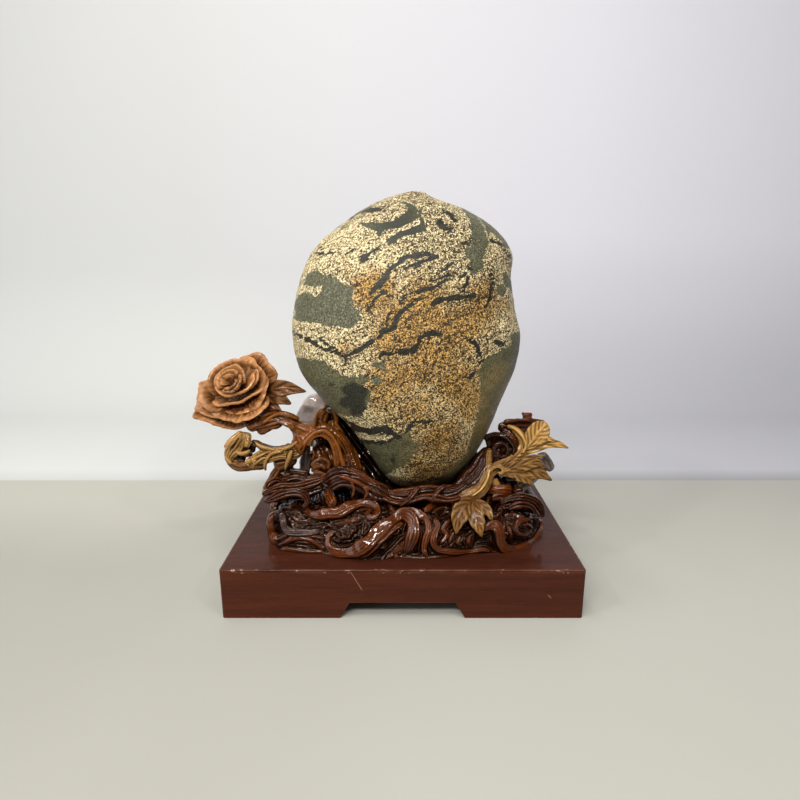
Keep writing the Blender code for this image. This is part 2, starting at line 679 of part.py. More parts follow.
# ---------------------------------------------------------------- assembly
def main():
    clear_scene()
    granite = finish("banded granite", (0.48, 0.36, 0.19), 0.75)
    dark_lacquer = finish("dark lacquered root", (0.16, 0.035, 0.015), 0.25)
    warm_lacquer = finish("warm lacquered root", (0.36, 0.12, 0.03), 0.28)
    golden_lacquer = finish("golden lacquered leaf", (0.50, 0.25, 0.07), 0.3)
    flower_wood = finish("flower wood", (0.48, 0.19, 0.07), 0.4)
    plinth_wood = finish("stained plinth wood", (0.15, 0.035, 0.025), 0.35)

    stone = build_stone(granite)
    base = build_carved_base(dark_lacquer)
    cut_by(base, stone)
    left_root = build_left_root(warm_lacquer)
    cut_by(left_root, stone, base)
    bloom = build_peony_bloom(flower_wood)
    stem = build_peony_stem(warm_lacquer)
    cut_by(stem, left_root, bloom)
    leaf = build_peony_leaf(flower_wood)
    cut_by(leaf, bloom, stem)
    bud = build_bud_branch(warm_lacquer)
    cut_by(bud, left_root, bloom, stem)
    right_root = build_right_root(dark_lacquer)
    cut_by(right_root, stone, base)
    ribbon = build_right_ribbon(golden_lacquer)
    cut_by(ribbon, base, right_root)
    mid_leaf = build_right_mid_leaf(golden_lacquer)
    cut_by(mid_leaf, ribbon, right_root, base)
    upper_leaf = build_right_upper_leaf(golden_lacquer)
    cut_by(upper_leaf, ribbon, right_root, mid_leaf)
    lower_leaf = build_lower_leaf(golden_lacquer)
    cut_by(lower_leaf, base, ribbon)

    build_board(plinth_wood)
    for name, length, half_depth, cutout, turn in (
            ("plinth_rail_front", PLINTH_WIDTH, PLINTH_DEPTH / 2, CUTOUT_FRONT_WIDTH, 0),
            ("plinth_rail_right", PLINTH_DEPTH, PLINTH_WIDTH / 2, CUTOUT_SIDE_WIDTH, 90),
            ("plinth_rail_back", PLINTH_WIDTH, PLINTH_DEPTH / 2, CUTOUT_FRONT_WIDTH, 180),
            ("plinth_rail_left", PLINTH_DEPTH, PLINTH_WIDTH / 2, CUTOUT_SIDE_WIDTH, 270)):
        build_rail(name, length, half_depth, cutout, turn, plinth_wood)


main()
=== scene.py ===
"""A banded granite viewing stone resting in a carved, lacquered root-wood stand.

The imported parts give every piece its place. Plain numbers are millimetres from the middle
of the plinth's foot, and place() turns them into the frame's metres.
"""

from math import atan2, cos, hypot, pi, radians, sin, sqrt

import bmesh
import bpy
import numpy as np
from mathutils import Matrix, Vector, kdtree, noise


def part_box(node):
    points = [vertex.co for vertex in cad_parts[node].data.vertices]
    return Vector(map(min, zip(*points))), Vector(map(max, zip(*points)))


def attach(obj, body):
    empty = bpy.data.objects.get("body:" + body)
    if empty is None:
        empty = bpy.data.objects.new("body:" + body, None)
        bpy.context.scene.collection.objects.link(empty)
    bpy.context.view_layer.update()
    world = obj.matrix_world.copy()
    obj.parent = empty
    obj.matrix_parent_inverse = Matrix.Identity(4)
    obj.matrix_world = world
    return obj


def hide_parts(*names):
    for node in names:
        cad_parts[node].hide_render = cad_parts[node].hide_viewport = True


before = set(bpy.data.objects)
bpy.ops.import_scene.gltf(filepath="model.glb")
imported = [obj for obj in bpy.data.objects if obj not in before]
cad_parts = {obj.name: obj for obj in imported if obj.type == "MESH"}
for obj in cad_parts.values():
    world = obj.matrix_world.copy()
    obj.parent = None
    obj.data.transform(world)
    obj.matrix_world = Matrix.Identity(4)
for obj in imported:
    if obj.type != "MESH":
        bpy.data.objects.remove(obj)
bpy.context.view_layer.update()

MM = .001
PATH_STEPS = 12  # rows per span of a smooth path, before it is made even
KNIFE_EDGE = .02  # half the thickness left along a blade's edge
BOARD_LOW, BOARD_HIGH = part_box("plinth_board")
PLINTH_CENTRE = np.array(((BOARD_LOW.x + BOARD_HIGH.x) / 2, (BOARD_LOW.y + BOARD_HIGH.y) / 2, 0))
PLINTH_TOP = BOARD_HIGH.z / MM

# ---- camera
FRAME_PX = 800
FOCAL_PX = 560
SENSOR_WIDTH = 36.0
CAMERA_TILT = radians(13.72)  # below level
CAMERA_AT = np.array((-2.5, -621.8, 344.2))
CAMERA_RIGHT = np.array((1.0, 0.0, 0.0))
CAMERA_FORWARD = np.array((0.0, cos(CAMERA_TILT), -sin(CAMERA_TILT)))
CAMERA_UP = np.array((0.0, sin(CAMERA_TILT), cos(CAMERA_TILT)))


def place(points):
    """Millimetres from the plinth's centre to metres in the frame."""
    return np.asarray(points, float) * MM + PLINTH_CENTRE


def seen_at(points):
    """Where points, in mm, are seen in the 800 px frame."""
    away = np.asarray(points, float) - CAMERA_AT
    depth = away @ CAMERA_FORWARD
    across = FRAME_PX / 2 + FOCAL_PX * (away @ CAMERA_RIGHT) / depth
    down = FRAME_PX / 2 - FOCAL_PX * (away @ CAMERA_UP) / depth
    return np.stack((across, down), axis=-1)


def sight_line(u, v):
    half = FRAME_PX / 2
    return CAMERA_FORWARD + CAMERA_RIGHT * (u - half) / FOCAL_PX - CAMERA_UP * (v - half) / FOCAL_PX


def at(u, v, y):
    """The point at depth y, in mm, on the sight line through a frame point."""
    way = sight_line(u, v)
    return CAMERA_AT + way * (y - CAMERA_AT[1]) / way[1]


# ---- curves and skins
def smooth_path(values, steps):
    """Catmull-Rom through rows of values, with the given steps per span."""
    rows = np.array(values, float)
    padded = np.vstack([2 * rows[0] - rows[1], rows, 2 * rows[-1] - rows[-2]])
    out = []
    for i in range(1, len(padded) - 2):
        p0, p1, p2, p3 = padded[i - 1:i + 3]
        for step in range(steps):
            t = step / steps
            out.append(.5 * (2 * p1 + (p2 - p0) * t
                              + (2 * p0 - 5 * p1 + 4 * p2 - p3) * t ** 2
                              + (3 * p1 - p0 - 3 * p2 + p3) * t ** 3))
    out.append(rows[-1])
    return np.array(out)


def run_along(rows):
    """How far each row lies from the first, along the line through their places."""
    return np.concatenate([[0], np.cumsum(np.linalg.norm(np.diff(rows[:, :3], axis=0), axis=1))])


def at_stops(rows, run, stops):
    return np.stack([np.interp(stops, run, column) for column in rows.T], axis=1)


def even_path(values, spacing):
    """The same curve with its rows an even distance apart."""
    rows = smooth_path(values, PATH_STEPS)
    run = run_along(rows)
    stops = np.linspace(0, run[-1], max(4, int(round(run[-1] / spacing)) + 1))
    return at_stops(rows, run, stops), stops


def unit(vector):
    return vector / max(np.linalg.norm(vector), 1e-9)


def eased(share):
    """Rises from 0 to 1 as a quarter circle does."""
    return np.sqrt(1 - (1 - share) ** 2)


def ring_faces(rows, columns):
    """Quads over a grid of points whose last column meets its first."""
    faces = []
    for low in range(0, (rows - 1) * columns, columns):
        high = low + columns
        for j in range(columns):
            k = (j + 1) % columns
            faces.append((low + j, low + k, high + k, high + j))
    return faces


def grid_normals(grid):
    along, across = np.gradient(grid, axis=0), np.gradient(grid, axis=1)
    normals = np.cross(along, across)
    return normals / np.maximum(np.linalg.norm(normals, axis=-1, keepdims=True), 1e-9)


def wavy(points, size, seed):
    """Smooth repeatable noise, one value to a point, mostly from -1 to 1."""
    spots = points / size + seed * 17.3
    return np.array([noise.noise(Vector(spot)) for spot in spots]) * 1.6


def nearest_finder(spots):
    tree = kdtree.KDTree(len(spots))
    for i, spot in enumerate(spots):
        tree.insert(spot, i)
    tree.balance()
    return lambda others: np.array([tree.find(spot)[1] for spot in others])


# ---- meshes and pieces
def read(mesh, name):
    layer = mesh.attributes[name]
    values = np.zeros(len(layer.data), np.float32)
    layer.data.foreach_get("value", values)
    return values


def write(mesh, name, values, kind="FLOAT"):
    if name in mesh.attributes:
        mesh.attributes.remove(mesh.attributes[name])
    layer = mesh.attributes.new(name, kind, "POINT")
    values = np.ascontiguousarray(values, np.float32)
    layer.data.foreach_set("vector" if kind == "FLOAT_VECTOR" else "value", values.ravel())


def put(name, data):
    """Adds an object with the given mesh, light or camera to the scene."""
    thing = bpy.data.objects.new(name, data)
    bpy.context.scene.collection.objects.link(thing)
    return thing


def plain_copy(thing):
    """The object's mesh with its modifiers made plain. The object is then removed."""
    depsgraph = bpy.context.evaluated_depsgraph_get()
    depsgraph.update()
    mesh = bpy.data.meshes.new_from_object(thing.evaluated_get(depsgraph))
    bpy.data.objects.remove(thing, do_unlink=True)
    return mesh


def show(thing, node):
    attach(thing, "root")
    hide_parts(node)


def show_mesh(name, mesh, finish, node):
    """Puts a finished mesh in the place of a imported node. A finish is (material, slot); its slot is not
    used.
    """
    material, slot = finish
    mesh.name = name
    mesh.materials.clear()
    mesh.materials.append(material)
    mesh.shade_smooth()
    show(put(name, mesh), node)


class Skin:
    """Gathers closed shells, with each point's tint and relief, into one mesh."""

    def __init__(self):
        self.points, self.faces, self.tint, self.relief = [], [], [], []
        self.count = 0

    def add(self, points, faces, tint, relief):
        self.points.append(points)
        self.tint.append(tint)
        self.relief.append(relief)
        self.faces.extend(tuple(k + self.count for k in face) for face in faces)
        self.count += len(points)

    def show(self, name, finish, node):
        mesh = bpy.data.meshes.new(name)
        mesh.from_pydata(place(np.concatenate(self.points)).tolist(), [], self.faces)
        write(mesh, "tint", np.concatenate(self.tint))
        write(mesh, "relief", np.concatenate(self.relief))
        show_mesh(name, mesh, finish, node)


# ---- node trees
class Value:
    """What a node puts out. It can be reckoned with, and gives the node's other outputs."""

    def __init__(self, net, node, output=0):
        self.net, self.node, self.socket = net, node, node.outputs[output]

    def __getitem__(self, output):
        return Value(self.net, self.node, output)


def add_operator(word, kind):
    setattr(Value, f"__{word}__", lambda one, other: one.net.math(kind, one, other))
    setattr(Value, f"__r{word}__", lambda one, other: one.net.math(kind, other, one))


for pair in (("add", "ADD"), ("sub", "SUBTRACT"), ("mul", "MULTIPLY"), ("truediv", "DIVIDE")):
    add_operator(*pair)


class Net:
    """Short ways to add nodes to a shader or geometry tree and to join them."""

    def __init__(self, tree):
        self.tree = tree

    def add(self, kind, *inputs, named=None, **settings):
        node = self.tree.nodes.new(kind)
        for key, value in settings.items():
            setattr(node, key, value)
        for socket, value in zip(node.inputs, inputs):
            self.feed(socket, value)
        for key, value in (named or {}).items():
            self.feed(node.inputs[key], value)
        return Value(self, node)

    def feed(self, socket, value):
        if isinstance(value, Value):
            self.tree.links.new(value.socket, socket)
        elif value is not None:
            if socket.type == "RGBA":
                value = (*value, 1.0)
            socket.default_value = value

    def fill(self, node, **values):
        """Feeds inputs by their names, with underscores for spaces."""
        for key, value in values.items():
            self.feed(node.inputs[key.replace("_", " ")], value)

    def math(self, operation, a, b=None, clamp=False):
        return self.add("ShaderNodeMath", a, b, operation=operation, use_clamp=clamp)

    def vector(self, operation, a, b=None):
        return self.add("ShaderNodeVectorMath", a, b, operation=operation)

    def scaled(self, vector, scale):
        return self.add("ShaderNodeVectorMath", vector, named={"Scale": scale}, operation="SCALE")

    def steps(self, value, low, high, to_low=0.0, to_high=1.0, smooth=True):
        kind = "SMOOTHSTEP" if smooth else "LINEAR"
        return self.add("ShaderNodeMapRange", value, low, high, to_low, to_high,
                        interpolation_type=kind, clamp=True)

    def mix(self, factor, a, b):
        node = self.add("ShaderNodeMix", data_type="RGBA").node
        sockets = {socket.identifier: socket for socket in node.inputs}
        for name, value in (("Factor_Float", factor), ("A_Color", a), ("B_Color", b)):
            self.feed(sockets[name], value)
        colour = [socket.identifier for socket in node.outputs].index("Result_Color")
        return Value(self, node, colour)

    def noise(self, spot, scale, detail=3.0, rough=.5, distortion=0.0):
        return self.add("ShaderNodeTexNoise", named={
            "Vector": spot, "Scale": scale, "Detail": detail, "Roughness": rough,
            "Distortion": distortion})

    def own(self, name):
        return self.add("ShaderNodeAttribute", attribute_name=name)["Fac"]

    def bump(self, height, distance, strength, under=None):
        return self.add("ShaderNodeBump", named={
            "Strength": strength, "Distance": distance, "Height": height, "Normal": under})

    def group(self, tree, **values):
        made = self.add("ShaderNodeGroup", node_tree=tree)
        self.fill(made.node, **values)
        return made


def make_group(name, kind, inputs, outputs):
    """A node group with named sockets. inputs are (name, type, default)."""
    tree = bpy.data.node_groups.new(name, kind)
    for label, socket_type, default in inputs:
        socket = tree.interface.new_socket(label, in_out="INPUT",
                                           socket_type="NodeSocket" + socket_type)
        if default is not None:
            socket.default_value = default
    for label, socket_type in outputs:
        tree.interface.new_socket(label, in_out="OUTPUT", socket_type="NodeSocket" + socket_type)
    net = Net(tree)
    return net, Value(net, tree.nodes.new("NodeGroupInput")), tree.nodes.new("NodeGroupOutput")


def set_input(modifier, name, value):
    for item in modifier.node_group.interface.items_tree:
        if item.item_type == "SOCKET" and item.in_out == "INPUT" and item.name == name:
            modifier[item.identifier] = value
            return
    raise KeyError(name)


# ---- the carving's ground
FOOT_OUTLINE = (
    (-143, -66), (-128, -92), (-84, -98), (-2, -106), (69, -98), (130, -83),
    (157, -45), (160, 5), (152, 50), (124, 80), (60, 95), (-20, 97), (-88, 88),
    (-130, 60), (-146, 10), (-147, -38),
)
MOUND_CENTRE = np.array((15.0, -10.0))
MOUND_TOP = 94.0
FOOT_SHARE = .98  # how far out on the mound a strand may lie
SIGHT_DEPTHS = np.arange(-128.0, 60.0, 1.0)  # mm, from before the mound to behind it
CROWN_RISE = 4.0  # of the mound's middle above its top, under the stone
SEAT_CENTRE = np.array((34.0, -4.0))
SEAT_RADII = np.array((56.0, 52.0))
SWELLINGS = (
    ((-114, -56, 74), (30, 30, 22)), ((118, -66, 70), (30, 26, 16)),
    ((-92, 10, 82), (34, 40, 18)), ((100, -20, 82), (30, 34, 18)),
)

FOOT_SPOKES = np.array(FOOT_OUTLINE, float) - MOUND_CENTRE
FOOT_ORDER = np.argsort(np.arctan2(FOOT_SPOKES[:, 1], FOOT_SPOKES[:, 0]))
FOOT_ANGLES = np.arctan2(FOOT_SPOKES[:, 1], FOOT_SPOKES[:, 0])[FOOT_ORDER]
FOOT_REACH = np.hypot(FOOT_SPOKES[:, 0], FOOT_SPOKES[:, 1])[FOOT_ORDER]


def foot_reach(angle):
    """How far the carving's foot lies from the mound's centre in a plan direction."""
    return np.interp(angle, FOOT_ANGLES, FOOT_REACH, period=2 * pi)


def mound_height(x, y):
    """Height of the mound's smooth ground, or just below the board outside it."""
    across, along = x - MOUND_CENTRE[0], y - MOUND_CENTRE[1]
    reach = foot_reach(atan2(along, across))
    out = hypot(across, along)
    if out >= reach:
        return PLINTH_TOP - 1
    rim = .5 * reach
    climb = min((reach - out) / (reach - rim), 1)
    height = PLINTH_TOP + (MOUND_TOP + CROWN_RISE - PLINTH_TOP) * sqrt(1 - (1 - climb) ** 2)
    for centre, radii in SWELLINGS:
        off = ((x - centre[0]) / radii[0]) ** 2 + ((y - centre[1]) / radii[1]) ** 2
        if off < 1:
            height = max(height, centre[2] + radii[2] * (1 - off) ** .6)
    return height


def on_mound(u, v, lift):
    """Where the sight line through a frame point meets the mound, raised by lift.

    A line that passes the mound by is given the nearest point of its foot instead.
    """
    way = sight_line(u, v)
    nearest, nearest_miss = None, 1e9
    for y in SIGHT_DEPTHS:
        spot = CAMERA_AT + way * (y - CAMERA_AT[1]) / way[1]
        away = spot[:2] - MOUND_CENTRE
        reach = foot_reach(atan2(away[1], away[0]))
        out = np.linalg.norm(away)
        if out <= reach and spot[2] <= mound_height(spot[0], spot[1]) + lift:
            return spot
        miss = max(out - FOOT_SHARE * reach, 0) + max(PLINTH_TOP + lift - spot[2], 0)
        if out > FOOT_SHARE * reach and miss < nearest_miss:
            inward = MOUND_CENTRE + away / out * reach * FOOT_SHARE
            nearest_miss = miss
            nearest = np.array((*inward, max(spot[2], PLINTH_TOP + 1)))
    return spot if nearest is None else nearest


# ---- carved strands
LEAN = .18  # how far a strand's crown leans over to one side
GROOVE_SHADE = 1.9  # how fast painted shade, with some pooled stain, darkens down a groove


def strand_tree():
    """Sweeps a reeded section along each guide and carves it with fine tool marks."""
    net, start, end = make_group("carved strands", "GeometryNodeTree", (
        ("Geometry", "Geometry", None), ("Sides", "Int", 28), ("Groove Depth", "Float", 1.0),
        ("Tool Marks", "Float", .0003), ("Mark Size", "Float", .007),
        ("Material", "Material", None)), (("Geometry", "Geometry"),))

    def field(name, kind="FLOAT"):
        return net.add("GeometryNodeInputNamedAttribute", name, data_type=kind)

    def store(mesh, name, value):
        return net.add("GeometryNodeStoreNamedAttribute", mesh, None, name, value,
                       data_type="FLOAT", domain="POINT")

    curve = net.add("GeometryNodeMeshToCurve", start["Geometry"])
    profile = net.add("GeometryNodeCurvePrimitiveCircle",
                      named={"Resolution": start["Sides"], "Radius": MM})
    turn = net.add("GeometryNodeInputIndex") * (2 * pi) / start["Sides"]
    sweep = net.add("GeometryNodeCurveToMesh", named={
        "Curve": curve, "Profile Curve": store(profile, "turn", turn), "Fill Caps": True})

    across = net.math("COSINE", field("turn"))
    rise = net.math("SINE", field("turn"))
    reed = (across + 1.0) * (field("ridges") * (pi / 2))
    crest = net.math("ABSOLUTE", net.math("SINE", reed))
    crest = net.math("MAXIMUM", crest, net.math("LESS_THAN", field("ridges"), .5))
    dent = (1.0 - crest) * field("groove") * start["Groove Depth"]
    radius = field("girth")
    sideways = net.scaled(field("wide", "FLOAT_VECTOR"), (across + rise * LEAN) * radius)
    upward = net.scaled(field("thin", "FLOAT_VECTOR"), rise * radius * (1.0 - dent))
    spot = net.vector("ADD", field("spine", "FLOAT_VECTOR"), net.vector("ADD", sideways, upward))
    # relief paints the colour darker down each groove and on the strand's under side: painted shade, with
    # some pooled stain
    relief = (net.math("SUBTRACT", 1.0, dent * GROOVE_SHADE, clamp=True)
              * net.steps(rise, -.2, .65, .22, 1.0))
    shaped = store(net.add("GeometryNodeSetPosition", sweep, None, spot), "relief", relief)

    marks = net.noise(net.scaled(net.add("GeometryNodeInputPosition"), 1.0 / start["Mark Size"]),
                      1.0, detail=2.0)
    push = net.scaled(net.add("GeometryNodeInputNormal"),
                      (marks - .5) * (start["Tool Marks"] * 2.0))
    marked = net.add("GeometryNodeSetPosition", shaped, None, None, push)
    real = net.add("GeometryNodeRealizeInstances", marked)
    net.fill(end, Geometry=net.add("GeometryNodeSetMaterial", real, None, start["Material"]))
    return net.tree


STRANDS = strand_tree()
GUIDE_SPACING = 2.4
OUTWARD_LIFT = .55  # how far a strand's face looks up as well as outwards
SWELL = .22  # how unevenly a strand is cut along its length
CARRY = .6  # how much of the last frame is kept from row to row
END_POINT = .985  # how nearly a strand's ends close to a point
GROOVE_DEPTH = 1.3
TOOL_MARKS = 1.0
MARK_SIZE = 5.0


def outward(spot):
    away = np.array((spot[0] - MOUND_CENTRE[0], (spot[1] - MOUND_CENTRE[1]) * 1.3, 0.0))
    return unit(unit(away) + (0, 0, OUTWARD_LIFT))


def guide_frames(spots, facing):
    """Across and outward directions along a path, kept from flipping over."""
    wides, thins = [], []
    for spot, ahead in zip(spots, np.gradient(spots, axis=0)):
        tangent = unit(ahead)
        face = outward(spot) if facing is None else unit(np.array(facing, float))
        wide = np.cross(face, tangent)
        if wides:
            wide = wide + CARRY * (wides[-1] - tangent * np.dot(wides[-1], tangent))
        wide = unit(wide)
        wides.append(wide)
        thins.append(unit(np.cross(tangent, wide)))
    return np.array(wides), np.array(thins)


def tints_along(tint, count):
    return np.linspace(*tint, count) if isinstance(tint, tuple) else np.full(count, tint, float)


def guides(name, strands):
    """One mesh of guide lines. A strand is (points, ridges, groove, flat, tint, facing)."""
    rows = {key: [] for key in ("spine", "wide", "thin", "girth", "ridges", "groove", "tint")}
    edges, count = [], 0
    for points, ridges, groove, flat, tint, facing in strands:
        path, run = even_path(points, GUIDE_SPACING)
        radius = path[:, 3] * (1 + SWELL * np.sin(run / 6.5 + count) * np.sin(run / 15 + 1))
        for distance, end in ((run, radius[0]), (run[-1] - run, radius[-1])):
            near = np.clip(distance / max(end, .5), 0, 1)
            radius = radius * np.sqrt(1 - (1 - near) ** 2 * END_POINT)
        wides, thins = guide_frames(path[:, :3], facing)
        for key, values in (("spine", place(path[:, :3])), ("wide", wides), ("thin", thins * flat),
                            ("girth", np.maximum(radius, .15) * MM),
                            ("ridges", np.full(len(path), ridges)),
                            ("groove", np.full(len(path), groove)),
                            ("tint", tints_along(tint, len(path)))):
            rows[key].append(values)
        edges += [(count + i, count + i + 1) for i in range(len(path) - 1)]
        count += len(path)
    mesh = bpy.data.meshes.new(name)
    mesh.from_pydata(np.concatenate(rows["spine"]).tolist(), edges, [])
    for key, parts in rows.items():
        kind = "FLOAT_VECTOR" if key in ("spine", "wide", "thin") else "FLOAT"
        write(mesh, key, np.concatenate(parts), kind)
    return put(name, mesh)


def sweep_strands(name, strands, sides):
    """Runs the strand tree over the guides and returns the plain mesh."""
    thing = guides(name, strands)
    modifier = thing.modifiers.new("Carved strands", "NODES")
    modifier.node_group = STRANDS
    for label, value in (("Sides", sides), ("Groove Depth", GROOVE_DEPTH),
                         ("Tool Marks", TOOL_MARKS * MM), ("Mark Size", MARK_SIZE * MM)):
        set_input(modifier, label, value)
    return plain_copy(thing)


def fused(mesh, voxel):
    """Melts overlapping shells into one skin that keeps their tint and relief."""
    thing = put("melt", mesh)
    melt = thing.modifiers.new("Melt", "REMESH")
    melt.mode = "VOXEL"
    melt.voxel_size = voxel * MM
    ease = thing.modifiers.new("Ease", "SMOOTH")
    ease.factor = .5
    ease.iterations = 2
    skin = plain_copy(thing)
    find = nearest_finder([vert.co for vert in mesh.vertices])
    nearest = find([vert.co for vert in skin.vertices])
    for name in ("tint", "relief"):
        write(skin, name, read(mesh, name)[nearest])
    return skin


# ---- shared finishes
def grain_group():
    """Wood figure: long soft streaks, with darker pores, stretched along one axis."""
    net, start, end = make_group("wood figure", "ShaderNodeTree", (
        ("Vector", "Vector", None), ("Stretch", "Vector", (1, 12, 12)), ("Scale", "Float", 25.0),
    ), (("Figure", "Float"), ("Pores", "Float")))
    spot = net.scaled(net.vector("MULTIPLY", start["Vector"], start["Stretch"]), start["Scale"])
    broad = net.noise(spot, .35, distortion=.6)
    streaks = net.noise(spot, 2.2, detail=4.0, rough=.65)
    pores = net.noise(spot, 9.0, detail=2.0, rough=.7)
    net.fill(end, Figure=net.steps(broad * .55 + streaks * .45, .3, .7, smooth=False),
             Pores=net.steps(pores, .62, .72))
    return net.tree


def film_group():
    """Brushed lacquer over knife cuts: ripples, small flats, pooled thickness and dust."""
    net, start, end = make_group("lacquer film", "ShaderNodeTree", (
        ("Vector", "Vector", None), ("Ripple Size", "Float", .004), ("Gloss", "Float", .2),
        ("Spread", "Float", .12),
    ), (("Roughness", "Float"), ("Height", "Float"), ("Pooling", "Float")))
    spot = net.scaled(start["Vector"], 1.0 / start["Ripple Size"])
    ripple = net.noise(spot, 1.0, detail=2.0)
    pooled = net.steps(net.noise(spot, .22), .35, .68)
    dust = net.steps(net.noise(spot, 14.0, detail=1.0), .66, .72)
    cuts = net.add("ShaderNodeTexVoronoi", feature="SMOOTH_F1", named={
        "Vector": spot, "Scale": 1.15, "Smoothness": .3})
    across = net.vector("SUBTRACT", spot, cuts["Position"])
    tilt = net.vector("SUBTRACT", cuts["Color"], (.5, .5, .5))
    facets = net.vector("DOT_PRODUCT", across, tilt)["Value"]
    net.fill(end, Roughness=start["Gloss"] + pooled * start["Spread"] + dust * .12,
             Height=ripple * .8 + facets * .9, Pooling=pooled)
    return net.tree


def stain_group():
    """Colour of stained carving: dark in the cuts and under the strands as painted shade over pooled stain,
    warm on the crests, gold where tinted.

    A tint below 0 turns to the pale haze colour, partly the wood's own mauve and partly a painted
    reflection of the pale room; one from 1.2 to 2 fades to the darkest colour as painted shade.
    """
    net, start, end = make_group("carver's stain", "ShaderNodeTree", (
        ("Deep", "Color", (.02, .004, .002, 1)), ("Body", "Color", (.15, .03, .01, 1)),
        ("Gold", "Color", (.5, .25, .07, 1)), ("Haze And Reflection", "Color", (.64, .535, .495, 1)),
        ("Relief", "Float", .5), ("Tint", "Float", .2), ("Figure", "Float", .5),
        ("Pooling", "Float", .5),
    ), (("Color", "Color"),))
    tint = start["Tint"] + (start["Figure"] - .5) * .35
    warm = net.mix(net.steps(tint, 0.0, 1.0, smooth=False), start["Body"], start["Gold"])
    warm = net.mix(net.steps(start["Tint"], 0.0, -1.0), warm, start["Haze And Reflection"])
    shade = (net.steps(start["Relief"], .05, 1.0) * net.steps(start["Pooling"], 0.0, 1.0, 1.0, .75)
             * net.steps(start["Tint"], 1.2, 2.0, 1.0, 0.0))
    net.fill(end, Color=net.mix(shade, start["Deep"], warm))
    return net.tree


GRAIN = grain_group()
FILM = film_group()
STAIN = stain_group()


def new_material(name, **settings):
    """A material with the shader's plain settings, and what is needed to finish it."""
    material = bpy.data.materials.new(name)
    material.use_nodes = True
    net = Net(material.node_tree)
    shader = material.node_tree.nodes["Principled BSDF"]
    net.fill(shader, **settings)
    return material, net, shader, net.add("ShaderNodeTexCoord")["Object"]


def carved_finish(name, slot, gloss, coat, deep, body, gold):
    material, net, shader, spot = new_material(
        name, Coat_Roughness=.06, Coat_IOR=1.45, Specular_IOR_Level=.16,
        Specular_Tint=(1.0, .62, .42))
    figure = net.group(GRAIN, Vector=spot, Stretch=(1, 9, 9), Scale=28.0)
    film = net.group(FILM, Vector=spot, Ripple_Size=.004, Gloss=gloss, Spread=.08)
    stain = net.group(STAIN, Deep=deep, Body=body, Gold=gold, Relief=net.own("relief"),
                      Tint=net.own("tint"), Figure=figure["Figure"], Pooling=film["Pooling"])
    cut = net.bump(figure["Figure"], .0004, .35)
    net.fill(shader, Base_Color=stain["Color"], Roughness=film["Roughness"],
             Coat_Weight=net.steps(net.own("relief"), .15, .7, .05 * coat, coat),
             Normal=net.bump(film["Height"], .0013, .5, cut))
    return material, slot


DARK_LACQUER = carved_finish("dark lacquered root", "dark_lacquer", .08, .7,
                             (.0016, .0004, .0002), (.03, .006, .0015),
                             (.26, .056, .004))
WARM_LACQUER = carved_finish("warm lacquered root", "warm_lacquer", .09, .75,
                             (.005, .0012, .0004), (.048, .0105, .0018),
                             (.36, .105, .006))
GOLDEN_LACQUER = carved_finish("golden lacquered leaf", "golden_lacquer", .11, .6,
                               (.013, .0032, .0007), (.11, .036, .007),
                               (.58, .325, .09))
FLOWER_WOOD = carved_finish("flower wood", "flower_wood", .16, .45,
                            (.012, .003, .001), (.085, .026, .007), (.51, .232, .085))


# ---- plinth
BOARD_THICKNESS = PLINTH_TOP - BOARD_LOW.z / MM
PLINTH_HALF = np.array((BOARD_HIGH.x - BOARD_LOW.x, BOARD_HIGH.y - BOARD_LOW.y)) / 2 / MM
EDGE_ROUND = 1.4  # of the plinth's top edge
EDGE_STEPS = 4
CORNER_ROUND = 3.0  # of its upright corners
CORNER_STEPS = 6
RAIL_THICKNESS = 16.0
SEAM = .3  # between the board and its rails
FOOT_EDGE = 1.2  # worn strip along a rail's foot
RUBBED_EDGE = 2.0  # rubbed strip along the top edges
SHARP_CORNER = radians(28)
CUTOUT_HEIGHT = 17.0
CUTOUT_SLOPE = 10.0
CUTOUT_WIDTHS = {"front": 125.0, "back": 125.0, "left": 90.0, "right": 90.0}

# Knocks along the front edge and rail: start and end frame points, then half width in mm.
SCRATCHES = (
    ((344, 570), (349, 570.5), .9), ((350, 571), (362, 590), .3), ((556, 570), (560, 571.5), .9),
    ((548, 595), (551, 598), .35), ((506, 570), (509, 570.4), .6), ((231, 571), (236, 572), .5),
    ((420, 571), (423, 571), .4),
)
SCRATCH_DEPTH = -130.0  # mm, the plane of the front rail's face


def near_segment(net, spot, start, end, half_width):
    """A mask of the points nearer than half_width to a line between two places."""
    way = end - start
    off = net.vector("SUBTRACT", spot, tuple(start))
    along = net.math("DIVIDE", net.vector("DOT_PRODUCT", off, tuple(way))["Value"],
                     float(way @ way), clamp=True)
    gap = net.vector("SUBTRACT", off, net.scaled(tuple(way), along))
    ragged = net.noise(spot, 900.0, detail=1.0) * half_width
    return net.steps(net.vector("LENGTH", gap)["Value"] + ragged, 1.6 * half_width,
                     1.1 * half_width)


